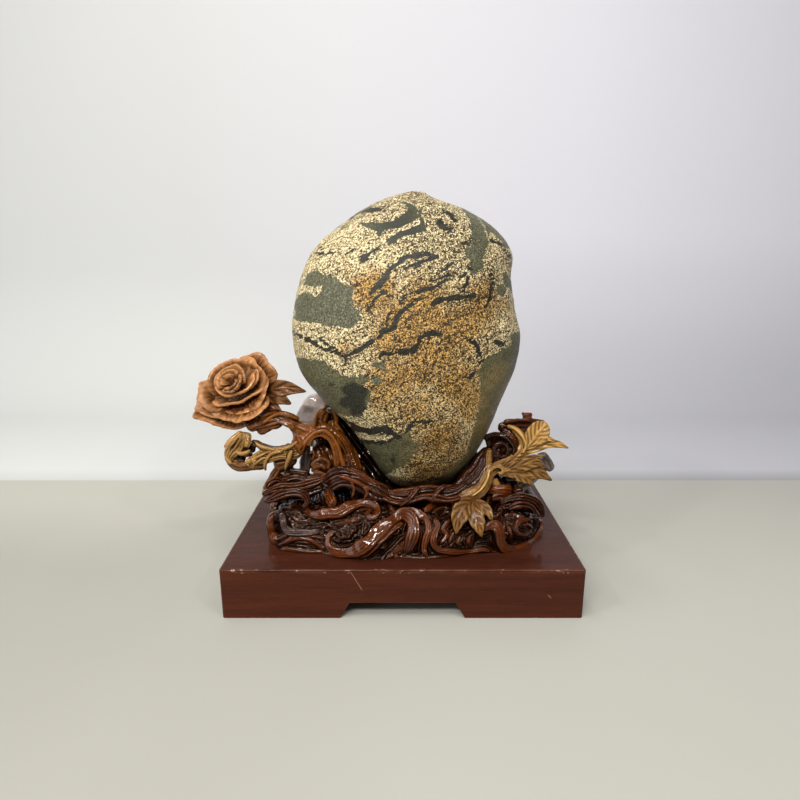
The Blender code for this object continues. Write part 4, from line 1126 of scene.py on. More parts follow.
# Scrolls on the front of the mound: ridges, tint, then frame points with radii in mm.
FRONT_SCROLLS = (
    # the left corner: long ridges, curls and the broken stump
    (2, .18, ((262, 500, 2), (270, 499, 2.2), (280, 495, 2.4), (291, 491.5, 2.4), (300, 491, 2.4),
     (306, 494, 2.2), (308, 500, 2), (305, 507, 1.8), (301, 511, 1.2))),
    (3, .24, ((266, 493, 1.6), (276, 490, 2.4), (286, 490, 2.8), (297, 489, 3), (307, 487.5, 3),
     (317, 484.5, 3), (327, 480, 3), (336, 474, 3), (343, 467, 3))),
    (1, .3, ((268, 495, 1.8), (271, 488, 2.2), (273, 484, 2.2), (277, 482, 2), (280, 485, 1.8),
     (277, 488, 1.2))), (1, .12, ((280, 505, 1.6), (288, 507, 2), (296, 503, 2), (300, 500, 1.4))),
    (1, .15, ((266, 501, 1.8), (268, 508, 2.2), (271, 512, 2.2), (277, 512, 2), (281, 512.5, 1.4))),
    (0, .22, ((274, 512, 3), (268, 518, 5.5), (265, 528, 7.5), (265, 538, 8), (266, 546, 6.5))),
    (1, .3, ((262, 522, 1.6), (268, 520, 2.4), (273, 516, 2), (276, 512, 1.4))),
    (0, .25, ((268, 528, 3.4), (270, 531, 3.2), (267, 540, 3.6), (271, 544, 3), (275, 541, 2.6))),
    (3, -.12, ((281, 513, 2.4), (284, 520, 4.4), (286, 528, 4.8), (290, 532, 4.6), (300, 533, 4),
     (312, 533, 3.4), (320, 532, 2.4))),
    (1, .1, ((291, 517, 1.2), (292, 523, 1.7), (294, 528, 1.8), (300, 530, 1.8), (312, 530, 1.4))),
    (2, .14, ((292, 511, 1.4), (294, 517, 2.4), (299, 521, 2.6), (307, 521, 2.4), (312, 522, 1.6))),
    (1, .1, ((296, 510, 1.3), (299, 515, 1.8), (303, 518, 1.8), (309, 518, 1.4))),
    (1, .1, ((300, 508, 1.3), (302, 513, 1.6), (306, 515, 1.6), (310, 514, 1.2))),
    (2, .16, ((270, 547, 1.8), (280, 545, 2.2), (288, 540, 2.4), (294, 536, 2.4), (302, 535, 2.4),
     (312, 536, 2.2), (320, 538, 2), (325, 542, 1.4))),
    (2, .2, ((283, 546, 1.6), (290, 541, 2.2), (297, 538.5, 2.4), (306, 539, 2.4), (313, 542, 2.4),
     (320, 547, 2.2), (325, 552, 1.6))),
    (1, .1, ((273, 541, 1.5), (279, 539, 2), (286, 535, 2), (289, 533, 1.4))),
    (2, .2, ((276, 549.5, 1.6), (284, 549.5, 2.2), (292, 550.5, 2.4), (300, 551.5, 2.6), (312, 552.5, 2.6),
     (322, 553.5, 2.4), (332, 556, 2))),
    (1, .1, ((291, 528, 1.4), (300, 530, 1.6), (312, 530, 1.6), (322, 529, 1.4))),
    (1, .1, ((303, 526, 1.4), (315, 527, 1.8), (325, 524, 1.6))),
    # the amber boss in its hollow
    (3, (.9, .3), ((321, 484, 4), (325, 487, 7), (329, 493, 7.5), (332, 500, 7), (335, 507, 5))),
    (1, .3, ((318, 489, 1.4), (319, 497, 2), (320, 503, 1.6))),
    (0, .3, ((316, 503, 2.2), (317, 503.6, 2.2))), (0, .3, ((321, 504, 2.2), (322, 504.5, 2.2))),
    # the S-scroll and its eye
    (4, .3, ((306, 508, 3), (311, 514, 4.2), (320, 515, 5.4), (330, 514, 5.8), (340, 513, 6),
     (348, 508.5, 5.8), (356, 505, 5.4), (365, 503, 5.2), (373, 504.5, 4.8), (378, 509, 4.2),
     (377, 515, 3.6), (371, 517.5, 3), (368, 513.5, 2.6), (371, 511, 2))),
    # the relief leaf above it
    (2, .15, ((334, 472, 2.5), (346, 476, 5), (358, 482, 6.5), (370, 487, 5), (384, 491, 2))),
    (1, .4, ((336, 472, 1.6), (352, 480, 2.2), (366, 485, 2), (378, 488, 1.8), (385, 490, 1.2))),
    (1, .3, ((344, 477, 1.5), (352, 486, 1.9), (355, 498, 1.5))),
    (1, .3, ((352, 480, 1.2), (362, 478, 1.4), (371, 480, 1.2))),
    (1, .3, ((362, 484, 1.2), (367, 490, 1.4), (366, 497, 1.2))),
    (0, .2, ((380, 501, 2.2), (382, 504, 2.2))), (0, .2, ((383, 508, 2), (385, 510, 2))),
    (0, .2, ((381, 517, 2.2), (383, 520, 2.2))),
    # the large U-scroll, with its ribbed hollow
    (5, .4, ((334, 531, 3), (329, 536, 3.4), (328, 544, 4), (333, 551, 4.6), (343, 553.5, 5),
     (354, 552, 5.8), (363, 547.5, 6.8), (371, 541, 7.4), (379, 532, 7.6), (388, 524, 7.2), (397, 517, 6.2),
     (405, 513, 5.2), (413, 512, 4.5), (420, 515, 4), (425, 520, 3))),
    (3, .25, ((352, 558, 2), (364, 555, 3), (372, 549, 3.6), (380, 541, 4), (388, 533, 4), (396, 527, 4),
     (403, 523, 3))), (2, .2, ((386, 559, 2), (394, 554, 3), (402, 546, 3), (409, 537, 2.2))),
    (0, .5, ((383, 546, 2.4), (384, 545.4, 2.4))), (0, .5, ((388, 536, 2.2), (389, 535.4, 2.2))),
    (0, .5, ((392, 528, 2.2), (393, 527.4, 2.2))), (0, .5, ((396, 531, 2), (397, 530.4, 2))),
    (1, .15, ((333, 535, 1.3), (338, 540, 1.3))), (1, .15, ((337, 531, 1.3), (343, 537, 1.3))),
    (1, .15, ((341, 529, 1.3), (347, 536, 1.3))), (1, .15, ((345, 527, 1.3), (350, 532, 1.3))),
    (1, .15, ((349, 525, 1.3), (354, 529, 1.3))),
    (1, .2, ((365, 521, 1.5), (366, 526, 2), (364, 532, 1.5))),
    (2, .15, ((332, 524, 2), (342, 523, 2.6), (354, 520, 2.8), (364, 517, 2.2))),
    # the amber boss at the middle and its collar
    (3, (.45, .1), ((403, 514, 4), (409, 517, 6.5), (413, 523, 8), (413, 532, 7.6), (410, 542, 6.6),
     (406, 553, 5))),
    (2, .3, ((401, 514, 2), (410, 511, 2.6), (419, 513, 3.2), (426, 520, 3.4), (428, 530, 3.4),
     (425, 541, 3.2), (424, 550, 3), (427, 557, 2.6))),
    # the small arch and the scroll under the lower leaf
    (2, .5, ((424, 512, 2.2), (431, 506, 3.5), (438, 501, 4), (446, 499.5, 4), (452, 502, 3.6),
     (454, 508, 3), (453, 516, 2))),
    (1, .25, ((430, 515, 1.5), (437, 509, 1.9), (445, 507, 1.9), (450, 510, 1.5))),
    (1, .2, ((438, 518, 1.4), (444, 513, 1.7), (449, 512, 1.4))),
    (2, .3, ((434, 518, 3), (437, 526, 4), (434, 534, 4), (433, 542, 3.6), (437, 549, 3.2), (446, 551.5, 3),
     (458, 552.5, 2.6), (470, 551.5, 2.4), (482, 550, 2.4), (490, 551, 2))),
    (2, .25, ((452, 518, 2), (447, 523, 2.6), (443, 529, 2.6), (447, 535, 2.6), (443, 541, 2.2),
     (440, 545, 1.6))), (1, .2, ((455, 530, 2), (451, 538, 2.2), (450, 545, 1.8))),
    (1, .2, ((462, 534, 1.8), (458, 541, 2.2), (459, 547, 1.8))),
    (1, .2, ((472, 533, 1.8), (469, 540, 2.2), (470, 546, 1.8))), (0, .5, ((436, 537, 2), (437, 538, 2))),
    (0, .4, ((470, 549, 2), (471, 549.4, 2))),
    (1, .15, ((405, 557, 1.8), (415, 559, 2), (425, 559, 2), (435, 558, 2), (445, 556, 2), (460, 555, 2),
     (475, 554, 1.8))),
    (1, .15, ((386, 561, 1.6), (397, 558, 2), (410, 560.5, 2), (430, 561.5, 2), (447, 559, 1.6))),
    # folds drawn in to the stone's foot
    (2, .3, ((403, 502, 2), (408, 495, 2.4), (414, 491.5, 2.6), (422, 490.5, 2.6), (433, 490.5, 2.2),
     (442, 490, 1.6))),
    (2, .35, ((416, 499, 1.8), (424, 494.5, 2.4), (432, 493.5, 2.4), (440, 494, 2.4), (450, 495, 2.2),
     (458, 495, 1.8))), (1, .2, ((410, 506, 1.6), (415, 500, 2), (421, 499, 2), (428, 503, 1.6))),
    (1, .2, ((390, 492, 1.6), (398, 498, 2.4), (402, 506, 2))),
    (2, .2, ((386, 500, 2), (391, 508, 2.6), (396, 512, 2))),
    # the fluted scrolls at the right
    (4, .3, ((484, 531, 3), (489, 526, 4.5), (496, 527, 5.6), (499, 535, 6), (500, 543, 6),
     (505, 549.5, 5.4), (514, 550.5, 4.8), (525, 547, 4.4), (534, 541, 4.2), (540, 531, 4), (541, 520, 3.4),
     (538, 511, 2.6))),
    (2, .2, ((490, 554, 1.8), (504, 556.5, 2.4), (516, 556, 2.4), (528, 552, 2.4), (537, 545, 2.4),
     (543, 535, 2.2), (545, 522, 1.8))),
    (2, .15, ((533, 523, 2.2), (527, 519, 2.6), (519, 521, 2.8), (516, 527, 2.8), (518, 534, 2.8),
     (526, 535, 2.6), (532, 530, 2.2), (529, 525, 1.9), (523, 526, 1.5))),
    (1, .2, ((503, 515, 1.6), (513, 514, 2.4), (522, 516, 2.2), (532, 514, 1.9), (538, 517, 1.4))),
    (1, .05, ((497, 511, 1.6), (503, 505, 2.6), (510, 500, 2.4), (512, 494, 1.8))),
    (2, .12, ((506, 521, 1.8), (510, 531, 2.6), (512, 541, 2.2))),
    (1, .1, ((494, 517, 1.8), (500, 513, 2.4), (504, 507, 1.8))),
)


GROUND_COLUMNS = 640
GROUND_ROWS = 142
GROUND_CROWDING = .42  # columns lie closer together on the front
GROUND_SPACING = 1.4  # between the scrolls' points, as the ground reads them
REED_PITCH = 4.6  # between the ridges that run beside the scrolls
CLIMB = .74  # how far in to the middle the ground is laid


def ground_grid():
    """The mound's nominal skin, its rows even along the slope from foot to seat."""
    turn = np.linspace(-pi, pi, GROUND_COLUMNS, endpoint=False)
    angles = -pi / 2 + turn - GROUND_CROWDING * np.sin(turn)
    shares = 1 - CLIMB * (1 - np.cos(np.linspace(0, pi / 2, 60)))
    grid = np.zeros((GROUND_ROWS, GROUND_COLUMNS, 3))
    for j, angle in enumerate(angles):
        reach = foot_reach((angle + pi) % (2 * pi) - pi)
        line = []
        for share in shares:
            x, y = MOUND_CENTRE + share * .999 * reach * np.array(
                (cos(angle), sin(angle)))
            line.append((x, y, mound_height(x, y)))
        line[0] = (line[0][0], line[0][1], PLINTH_TOP)
        line = np.array(line)
        run = run_along(line)
        grid[:, j] = at_stops(line, run, np.linspace(0, run[-1], GROUND_ROWS))
    return grid


def build_ground(scrolls):
    """The mound, with the finer scrolls cut in it and reeding that flows round them all."""
    columns = ([], [], [], [], [])
    for points, count, groove, flat, tint, facing in scrolls:
        path, run = even_path(points, GROUND_SPACING)
        taper = np.clip(np.minimum(run, run[-1] - run) / 4, .15, 1) ** .6
        for column, values in zip(columns, (
                path[:, :3], path[:, 3] * taper, np.full(len(path), count),
                tints_along(tint, len(path)), guide_frames(path[:, :3], facing)[0])):
            column.append(values)
    spines, radii, ridges, tints, wides = map(np.concatenate, columns)

    grid = ground_grid()
    normals = grid_normals(grid)
    points = grid.reshape(-1, 3)
    warp = wavy(points, 16, 6)
    fine = wavy(points, 3.2, 7)
    nearest = nearest_finder(spines)(points)
    gap = np.linalg.norm(points - spines[nearest], axis=1)
    across = np.einsum("ij,ij->i", points - spines[nearest], wides[nearest])
    radius = radii[nearest]
    inside = np.clip(gap / np.maximum(radius * 1.05, .5), 0, 1)
    crown = np.sqrt(1 - inside ** 2)
    reeds = np.abs(np.sin((across / np.maximum(radius, .5) + 1) * ridges[nearest] * pi / 2))
    reeds = np.where(ridges[nearest] > 1, .55 + .45 * reeds, 1)
    beyond = np.maximum(gap - radius * 1.05, 0)
    flow = np.abs(np.sin(pi * (beyond + 1.2 * warp) / REED_PITCH)) ** .8
    calm = np.clip(beyond / 1.6, 0, 1) * np.maximum(np.exp(-beyond / 8), .4)
    hollow = 1 - np.exp(-(beyond / 5) ** 2)
    raised = np.where(radius > BROAD, 0.0, 1.6 * radius * crown * reeds)
    height = np.where(inside < 1, raised, 2.9 * flow * calm - .8 - 3.2 * hollow)
    height = height - GROUND_DEPTH + .2 * fine
    # relief paints the scrolls' grooves and the hollows between them dark: painted shade, with some pooled
    # stain
    relief = np.where(inside < 1, .25 + .75 * crown * reeds,
                      .03 + .52 * flow * calm * (1 - .6 * hollow))
    tint = np.where(inside < 1, tints[nearest], .08 + .12 * flow)
    height *= np.clip(np.repeat(np.arange(GROUND_ROWS), GROUND_COLUMNS) / 5, 0, 1)
    outside = np.sign(np.sum(normals[..., 2])) or 1.0
    points = points + normals.reshape(-1, 3) * outside * height[:, None]
    points[:, 2] = np.maximum(points[:, 2], PLINTH_TOP + .3)
    faces = ring_faces(GROUND_ROWS, GROUND_COLUMNS)
    last = (GROUND_ROWS - 1) * GROUND_COLUMNS
    faces.append(tuple(range(GROUND_COLUMNS))[::-1])
    faces.append(tuple(last + j for j in range(GROUND_COLUMNS)))
    skin = Skin()
    skin.add(points, faces, tint, relief)
    skin.show("carved_ground", DARK_LACQUER, "carved_base")


def turned_about(rows):
    """A scroll carried half way round the mound to its back."""
    out = []
    for x, y, z, radius in rows:
        away = np.array((x, y)) - MOUND_CENTRE
        angle = atan2(away[1], away[0])
        share = np.linalg.norm(away) / foot_reach(angle)
        turned = angle + pi
        x, y = MOUND_CENTRE + share * foot_reach(turned) * np.array(
            (cos(turned), sin(turned)))
        ground = mound_height(x, y) + BEDDED * radius - GROUND_DEPTH
        out.append((x, y, min(z, ground) if ground < z else .5 * (z + ground), radius))
    return out


# Roots along the back of the mound; the last two hold the stone from behind.
BACK_STRANDS = (
    (4, .2, ((-146, -30, 66, 6), (-144, 10, 78, 7), (-134, 48, 72, 7), (-108, 78, 62, 6))),
    (4, .25, ((-120, 68, 58, 6), (-92, 88, 66, 7), (-60, 94, 82, 6), (-34, 92, 80, 6), (-28, 99, 66, 5),
     (-46, 102, 60, 5))),
    (4, .2, ((-24, 98, 60, 6), (6, 98, 74, 7), (34, 92, 84, 6), (60, 90, 80, 6), (84, 92, 66, 6),
     (112, 84, 59, 5))), (3, .2, ((-100, 30, 92, 6), (-76, 52, 97, 7), (-44, 68, 94, 7), (-14, 80, 84, 6))),
    (4, .2, ((128, 60, 62, 6), (116, 54, 80, 7), (92, 60, 92, 7), (66, 72, 92, 6))),
    (3, .2, ((156, -20, 66, 6), (150, 14, 76, 7), (146, 44, 66, 6))),
    (5, .3, ((-44, 74, 80, 10), (-38, 62, 104, 9), (-34, 58, 124, 7), (-40, 62, 140, 4))),
    (5, .3, ((96, 66, 78, 10), (88, 58, 104, 9), (86, 56, 126, 7), (92, 58, 142, 4))),
)

# Folds that climb from the mound to the arch's foot and round the stone's.
SHOULDER_FOLDS = (
    seen(3, .2, ((262, 495, -66, 3), (270, 491, -66, 4.5), (279, 488, -64, 5), (290, 487, -62, 5),
        (301, 486, -60, 5), (312, 483, -59, 5), (323, 479, -58, 4.6), (333, 473.5, -56, 4),
        (341, 467, -53, 3)), .4),
    seen(3, .12, ((264, 502, -74, 3), (272, 499, -73, 4.5), (281, 495, -72, 5), (291, 492.5, -72, 5),
        (300, 493, -72, 4.6), (306, 497, -73, 4), (307, 503, -75, 3.2), (302, 507, -77, 2.4)), .4),
    seen(4, 0, ((268, 496, -60, 6), (282, 492, -58, 8), (296, 491, -56, 9), (310, 489, -54, 9),
        (324, 486, -54, 8)), .4),
    seen(2, .18, ((266, 489, -62, 2), (270, 483, -58, 3.2), (277, 480, -54, 3.6), (283, 483, -53, 3.2),
        (281, 488, -55, 2.2)), .4),
    seen(2, .1, ((284, 481, -52, 2.4), (292, 478, -50, 3.4), (300, 478, -50, 3.6), (307, 481, -52, 3.2),
        (309, 486, -55, 2.2)), .4),
    seen(2, .12, ((310, 478, -50, 3), (319, 476, -52, 3.6), (326, 479, -54, 3.4), (327, 485, -57, 2.4)),
        .4),
    seen(3, .05, ((500, 503, -66, 3), (508, 499, -66, 4.4), (518, 497, -64, 4.8), (528, 498, -62, 4.6),
        (536, 502, -60, 4.2), (541, 509, -60, 3.4), (543, 517, -58, 2.4)), .4),
    seen(2, .12, ((508, 509, -74, 2.6), (516, 505.5, -74, 3.8), (525, 505, -72, 4), (532, 508, -70, 3.6),
        (535, 514, -70, 2.6)), .4),
    seen(3, 0, ((500, 507, -62, 6), (514, 504, -60, 8), (528, 505, -56, 8), (538, 510, -54, 6)), .4),
    seen(3, .1, ((322, 483, -58, 4), (331, 476, -60, 6), (341, 472.5, -62, 6.5), (353, 474.5, -64, 7),
        (365, 480, -66, 7), (377, 486.5, -67, 6.5), (389, 492, -67, 4)), .35),
    seen(3, .05, ((330, 488, -62, 5), (342, 482, -65, 8), (354, 483, -67, 9), (366, 488, -69, 9),
        (378, 494, -70, 8), (390, 498, -71, 5)), .35),
    seen(2, .3, ((336, 470, -60, 1.6), (346, 470.5, -64, 2.6), (357, 474, -67, 2.8), (369, 479.5, -69, 2.6),
        (382, 487.5, -70, 1.6))),
    seen(1, .35, ((338, 476, -70, 1.4), (349, 479, -74, 2.2), (360, 484, -76, 2.2), (372, 490, -77, 1.6))),
    seen(1, .3, ((350, 480, -75, 1.4), (354, 488, -77, 2), (352, 497, -78, 1.6))),
    seen(1, .3, ((362, 485, -76, 1.4), (367, 492, -78, 2), (364, 499, -79, 1.4))),
    seen(3, .08, ((376, 487, -64, 4), (389, 493.5, -67, 5.5), (403, 496, -69, 6), (417, 493.5, -69, 5.5),
        (430, 491.5, -68, 5), (444, 493, -67, 5.5), (456, 490, -66, 5.5), (467, 483, -62, 4.5)), .35),
    seen(2, .25, ((382, 497, -73, 3), (396, 502.5, -76, 4), (411, 500.5, -77, 4.6), (424, 497, -76, 4),
        (436, 498, -76, 4.6), (449, 500, -76, 4), (461, 497, -74, 3)), .4),
    seen(1, .35, ((392, 491, -68, 1.4), (404, 490, -70, 2.2), (416, 488, -70, 2.2), (429, 486.5, -69, 2.2),
        (442, 487.5, -68, 2), (453, 485, -67, 1.4))),
    seen(2, .15, ((400, 506, -80, 2), (408, 500, -80, 3), (415, 492, -76, 3), (419, 486, -72, 2))),
    seen(2, .15, ((432, 503, -80, 2), (434, 497, -79, 3), (439, 490, -74, 3), (446, 485, -70, 2))),
)


def build_base():
    scrolls = [mound_strand(*row) for row in FRONT_SCROLLS]
    turned = [(turned_about(row[0]), *row[1:]) for row in scrolls]
    waves = [solid(*row, groove=.3, facing=None) for row in BACK_STRANDS]
    build_ground(scrolls + turned + waves[:-2])
    rim = []
    for angle in np.linspace(0, 2 * pi, 41):
        x, y = SEAT_CENTRE + SEAT_RADII * np.array((cos(angle), sin(angle)))
        rim.append((x, y, MOUND_TOP + 1 + 2 * sin(3 * angle), 5.5))
    waves.append((rim, 3, .25, 1.0, .05, (0, 0, 1)))
    # the smooth back lobe takes the pale haze colour: partly its own mauve, partly a painted reflection of
    # the pale room
    lobe = solid(3, (-.5, -1.0), ((-80, 46, 76, 18), (-88, 40, 116, 20), (-97, 33, 150, 23),
                                  (-101, 31, 176, 23), (-99, 30, 193, 14)), .08, .6)
    broad, turned_broad = ([row for row in rows if max(p[3] for p in row[0]) > BROAD]
                           for rows in (scrolls, turned))
    for name, rows, sides in (
            ("front_scrolls", broad, 36), ("back_scrolls", turned_broad, 20),
            ("roots_and_seat", waves + list(SHOULDER_FOLDS), 36), ("smooth_back_lobe", [lobe], 40)):
        mesh = sweep_strands(name, rows, sides)
        if name == "smooth_back_lobe":
            write(mesh, "relief", np.full(len(mesh.vertices), .9))
        show_mesh(name, mesh, DARK_LACQUER, "carved_base")


LEFT_ROOT = (
    # the arch, springing from the left and running down to the stone's foot
    seen(7, (.58, .08), ((299, 455, -38, 4.5), (301, 446, -38, 6), (306, 438.5, -37, 7.5),
        (315, 432, -36, 8), (325, 430, -36, 8.5), (334, 436, -37, 9.5), (341, 446, -39, 10),
        (346, 457, -42, 10.5), (348, 468, -46, 11.5), (351, 478, -50, 12), (356, 486, -54, 10)), .36),
    seen(5, (.45, .05), ((327, 421, -22, 8), (335, 434, -26, 8.5), (343, 447, -30, 9), (349, 460, -34, 10),
        (355, 472, -40, 11), (364, 482, -46, 11)), .3),
    seen(2, .5, ((309, 447, -43, 2.2), (311, 440, -44, 2.8), (317, 435.5, -44, 3), (324, 435.5, -44, 3),
        (330, 440, -45, 3), (334, 448, -47, 3), (336, 458, -50, 3), (337, 468, -53, 2.5))),
    seen(1, .6, ((303, 452, -43, 1.6), (305, 444, -44, 2.2), (310, 437.5, -44, 2.4), (317, 432, -45, 2.4),
        (325, 431, -45, 2.4), (332, 436, -46, 2.4), (338, 446, -48, 2.4), (341, 457, -51, 2.2),
        (343, 467, -54, 1.6))),
    # the shaded wall inside the arch, and a dark wall behind it beside the stone that stands in for the
    # shade there, painted near-black as painted shade
    seen(3, .12, ((317, 442, -20, 10), (322, 452, -20, 14), (326, 466, -24, 16), (330, 480, -30, 16)), .2),
    seen(3, 2, ((327, 409, -6, 7), (333, 416, -5, 10), (341, 426, -4, 12), (350, 438, -6, 13),
        (362, 454, -9, 14), (374, 470, -15, 14), (384, 484, -22, 12)), .15),
    seen(1, .45, ((334, 421, -29, 1.6), (343, 434, -33, 2.2), (352, 447, -38, 2.2), (358, 459, -44, 2.2),
        (361, 470, -50, 1.6))),
    # the rough knob that bears on the stone
    seen(4, .45, ((318, 436, -32, 9), (320, 426, -29, 9.5), (322, 416, -27, 9), (324, 408, -25, 7)), .35),
    seen(0, .35, ((317, 420, -33, 4), (319, 413, -31, 4.5), (326, 411, -32, 4))),
    seen(0, .25, ((324, 404, -26, 5), (329, 407, -26, 5))),
    seen(1, .3, ((331, 409, -27, 3), (335, 415, -27, 4), (337, 424, -28, 4))),
    seen(1, .45, ((313, 431, -41, 1.5), (315, 422, -40, 2.2), (318, 414, -38, 1.6))),
    # the web that joins the stem and the branch
    seen(4, .45, ((288, 424, -35, 6), (297, 426, -35, 8), (306, 430, -36, 8.5), (315, 431, -34, 7)), .36),
    seen(3, .3, ((294, 426, -36, 4.5), (297, 434, -37, 6), (298, 442, -38, 6.5), (294, 449, -39, 6)), .36),
    # the posts behind the arch
    seen(3, -.3, ((306, 442, -22, 6), (306, 455, -20, 6.5), (305, 466, -19, 6.5), (303, 482, -22, 6.5)),
        .12),
    seen(3, (.1, 0), ((292, 446, -27, 7), (288, 457, -27, 8), (285, 468, -29, 8), (284, 479, -33, 9),
        (284, 490, -40, 10)), .4),
    seen(4, .05, ((272, 473, -36, 6), (284, 474, -33, 8), (297, 476, -33, 8), (311, 476, -34, 8)), .4),
    seen(4, 0, ((266, 487, -46, 6), (280, 485, -41, 9), (296, 486, -41, 10), (312, 485, -41, 9)), .4),
    seen(2, .2, ((280, 465, -38, 3), (276, 472, -40, 4), (271, 480, -44, 4), (266, 487, -50, 3.4),
        (264, 494, -56, 2.4)), .4),
    solid(5, .1, ((-70, 0, 88, 16), (-84, -2, 120, 15), (-88, -8, 146, 14), (-85, -22, 166, 10)), .3),
    # curls in the shade under the arch
    seen(1, .2, ((311, 467, -46, 2.4), (316, 461.5, -47, 3), (323, 459, -47, 3), (329, 463, -48, 2.8),
        (327, 470, -49, 1.8))),
    seen(1, .15, ((311, 472, -48, 2.2), (317, 467, -49, 2.8), (323, 466, -49, 2.6), (326, 471, -50, 2))),
    seen(2, .15, ((306, 479, -49, 3), (315, 478, -51, 4), (325, 477, -52, 4), (334, 473, -53, 3.6),
        (340, 469, -54, 2.6))), seen(1, .2, ((313, 473, -50, 2), (320, 473, -52, 2.6), (326, 475, -53, 2))),
    seen(1, .45, ((309, 455, -40, 1.4), (313, 451, -40, 1.8), (314, 456, -40, 1.8), (311, 461, -40, 1.4))),
    seen(1, .4, ((297, 437, -43, 2.2), (301, 443, -44, 2.8), (299, 449, -44, 2.6), (303, 455, -43, 1.8))),
)
PEONY_STEM = (
    solid(5, (.35, .2), ((-128, -33, 180, 8), (-140, -31, 178, 9), (-152, -28, 174, 10),
        (-162, -25, 174, 10), (-171, -21, 178, 10), (-178, -14, 188, 10)), .36),
    seen(4, (.45, .2), ((299, 424, -36, 6.5), (290, 420.5, -35, 6.5), (281, 417.5, -34, 7),
        (272, 418, -33, 8), (263, 422, -32, 8), (254, 425, -33, 7), (247, 429, -35, 5.5)), .4),
    seen(2, .15, ((272, 423, -31, 6), (267, 428, -32, 6), (262, 431, -33, 5.5), (257, 429, -33, 4))),
    seen(1, .5, ((300, 419, -41, 2), (290, 415.5, -41, 2.6), (280, 413.5, -40, 2.6), (271, 417, -39, 2.4),
        (262, 424, -39, 2))),
    seen(1, .4, ((296, 429, -41, 1.8), (288, 425.5, -41, 2.2), (279, 422, -40, 2.2), (271, 425, -39, 1.8))),
)
BUD_BRANCH = (
    # the flame-shaped leaf along the branch
    seen(6, (.3, .75), ((303, 450, -38, 7), (292, 451.5, -39, 7.5), (278, 453, -40, 8),
        (266, 455.5, -42, 8.5), (256, 459, -43, 8), (248, 464, -41, 5.5)), .55, .8),
    seen(0, .6, ((246.5, 462.5, -46, 3.4), (249, 461.5, -47, 4.2), (252.5, 459, -46, 3.2))),
    seen(1, .6, ((255, 441.5, -41, 1.3), (258, 445, -42, 2), (264, 448, -43, 2.4), (272, 449.5, -44, 2.4),
        (282, 449.5, -44, 2.2), (291, 446.5, -43, 2.2), (298, 440.5, -42, 1.8))),
    seen(1, .05, ((250.5, 441, -35, 2.4), (256, 442.5, -34, 3.6), (262, 446.5, -34, 4), (270, 449, -34, 4),
        (284, 449, -34, 4), (292, 444.5, -35, 3.4))),
    seen(1, .5, ((283, 451, -46, 2), (274, 452.5, -47, 2.6), (268, 457, -48, 2.8), (265, 464, -47, 2.6),
        (265.5, 471, -43, 1.3))),
    seen(1, .5, ((292, 449.5, -46, 2.2), (289, 458, -47, 2.8), (286.5, 465, -45, 2.4),
        (285, 470.5, -43, 1.3))),
    seen(1, .6, ((268, 452.5, -49, 1.2), (261, 455, -50, 1.8), (254, 459, -48, 1.2))),
    seen(1, .6, ((266, 457, -49, 1.2), (260, 460, -50, 1.8), (255, 464, -47, 1.2))),
    seen(3, 0, ((297, 458, -35, 9), (284, 461.5, -33, 10), (273, 463, -33, 8)), .15),
    # a hollow beside the flap, painted near-black as painted shade
    seen(0, 2, ((251, 442.5, -33, 3.6), (252.5, 447, -34, 5), (251, 453, -35, 5))),
    # the folded bud: a grooved upper flap over a hollow painted near-black as painted shade, and a lower
    # lip
    seen(5, (.45, .8), ((247, 432, -36, 4.5), (241.5, 439, -39, 8), (235, 446.5, -40, 9),
        (230, 453.5, -40, 7.5), (228, 460, -38, 4)), .4, .7),
    seen(2, .8, ((242, 431, -36, 2.5), (232.5, 439, -39, 4), (223.5, 447.5, -39, 1.3)), .4, .7),
    seen(4, (.4, .8), ((247.5, 432, -36, 4), (247, 440, -41, 6.5), (245, 448, -43, 6.5)), .4, .7),
    seen(1, .6, ((236, 452.5, -45, 1.5), (241, 453.8, -47, 2.2), (246.5, 453.2, -47, 2.2),
        (250.5, 449.5, -44, 1.4))),
    seen(1, .4, ((243, 434, -45, 1.1), (238, 443, -48, 1.6), (233, 451, -47, 1.2))),
    seen(1, .4, ((239, 436, -43, 1.1), (233, 443, -46, 1.6), (228, 449, -44, 1.2))),
    # the hollow under the flap, painted near-black as painted shade
    seen(0, 2, ((233, 459.5, -35, 6), (239, 459, -36, 6.5), (246, 458, -36, 5))),
    seen(0, .1, ((238, 448, -32, 8), (245, 450, -31, 8), (252, 455, -31, 8))),
    seen(3, .1, ((227, 459, -39, 3), (232, 464, -41, 4.2), (239, 466.5, -42, 4.6), (247, 466.5, -42, 5),
        (256, 465.5, -41, 5), (266, 464.5, -39, 4.5)), .3),
    seen(1, .6, ((225.5, 455, -40, 1.6), (228, 461, -43, 2), (233, 464, -45, 1.6))),
)
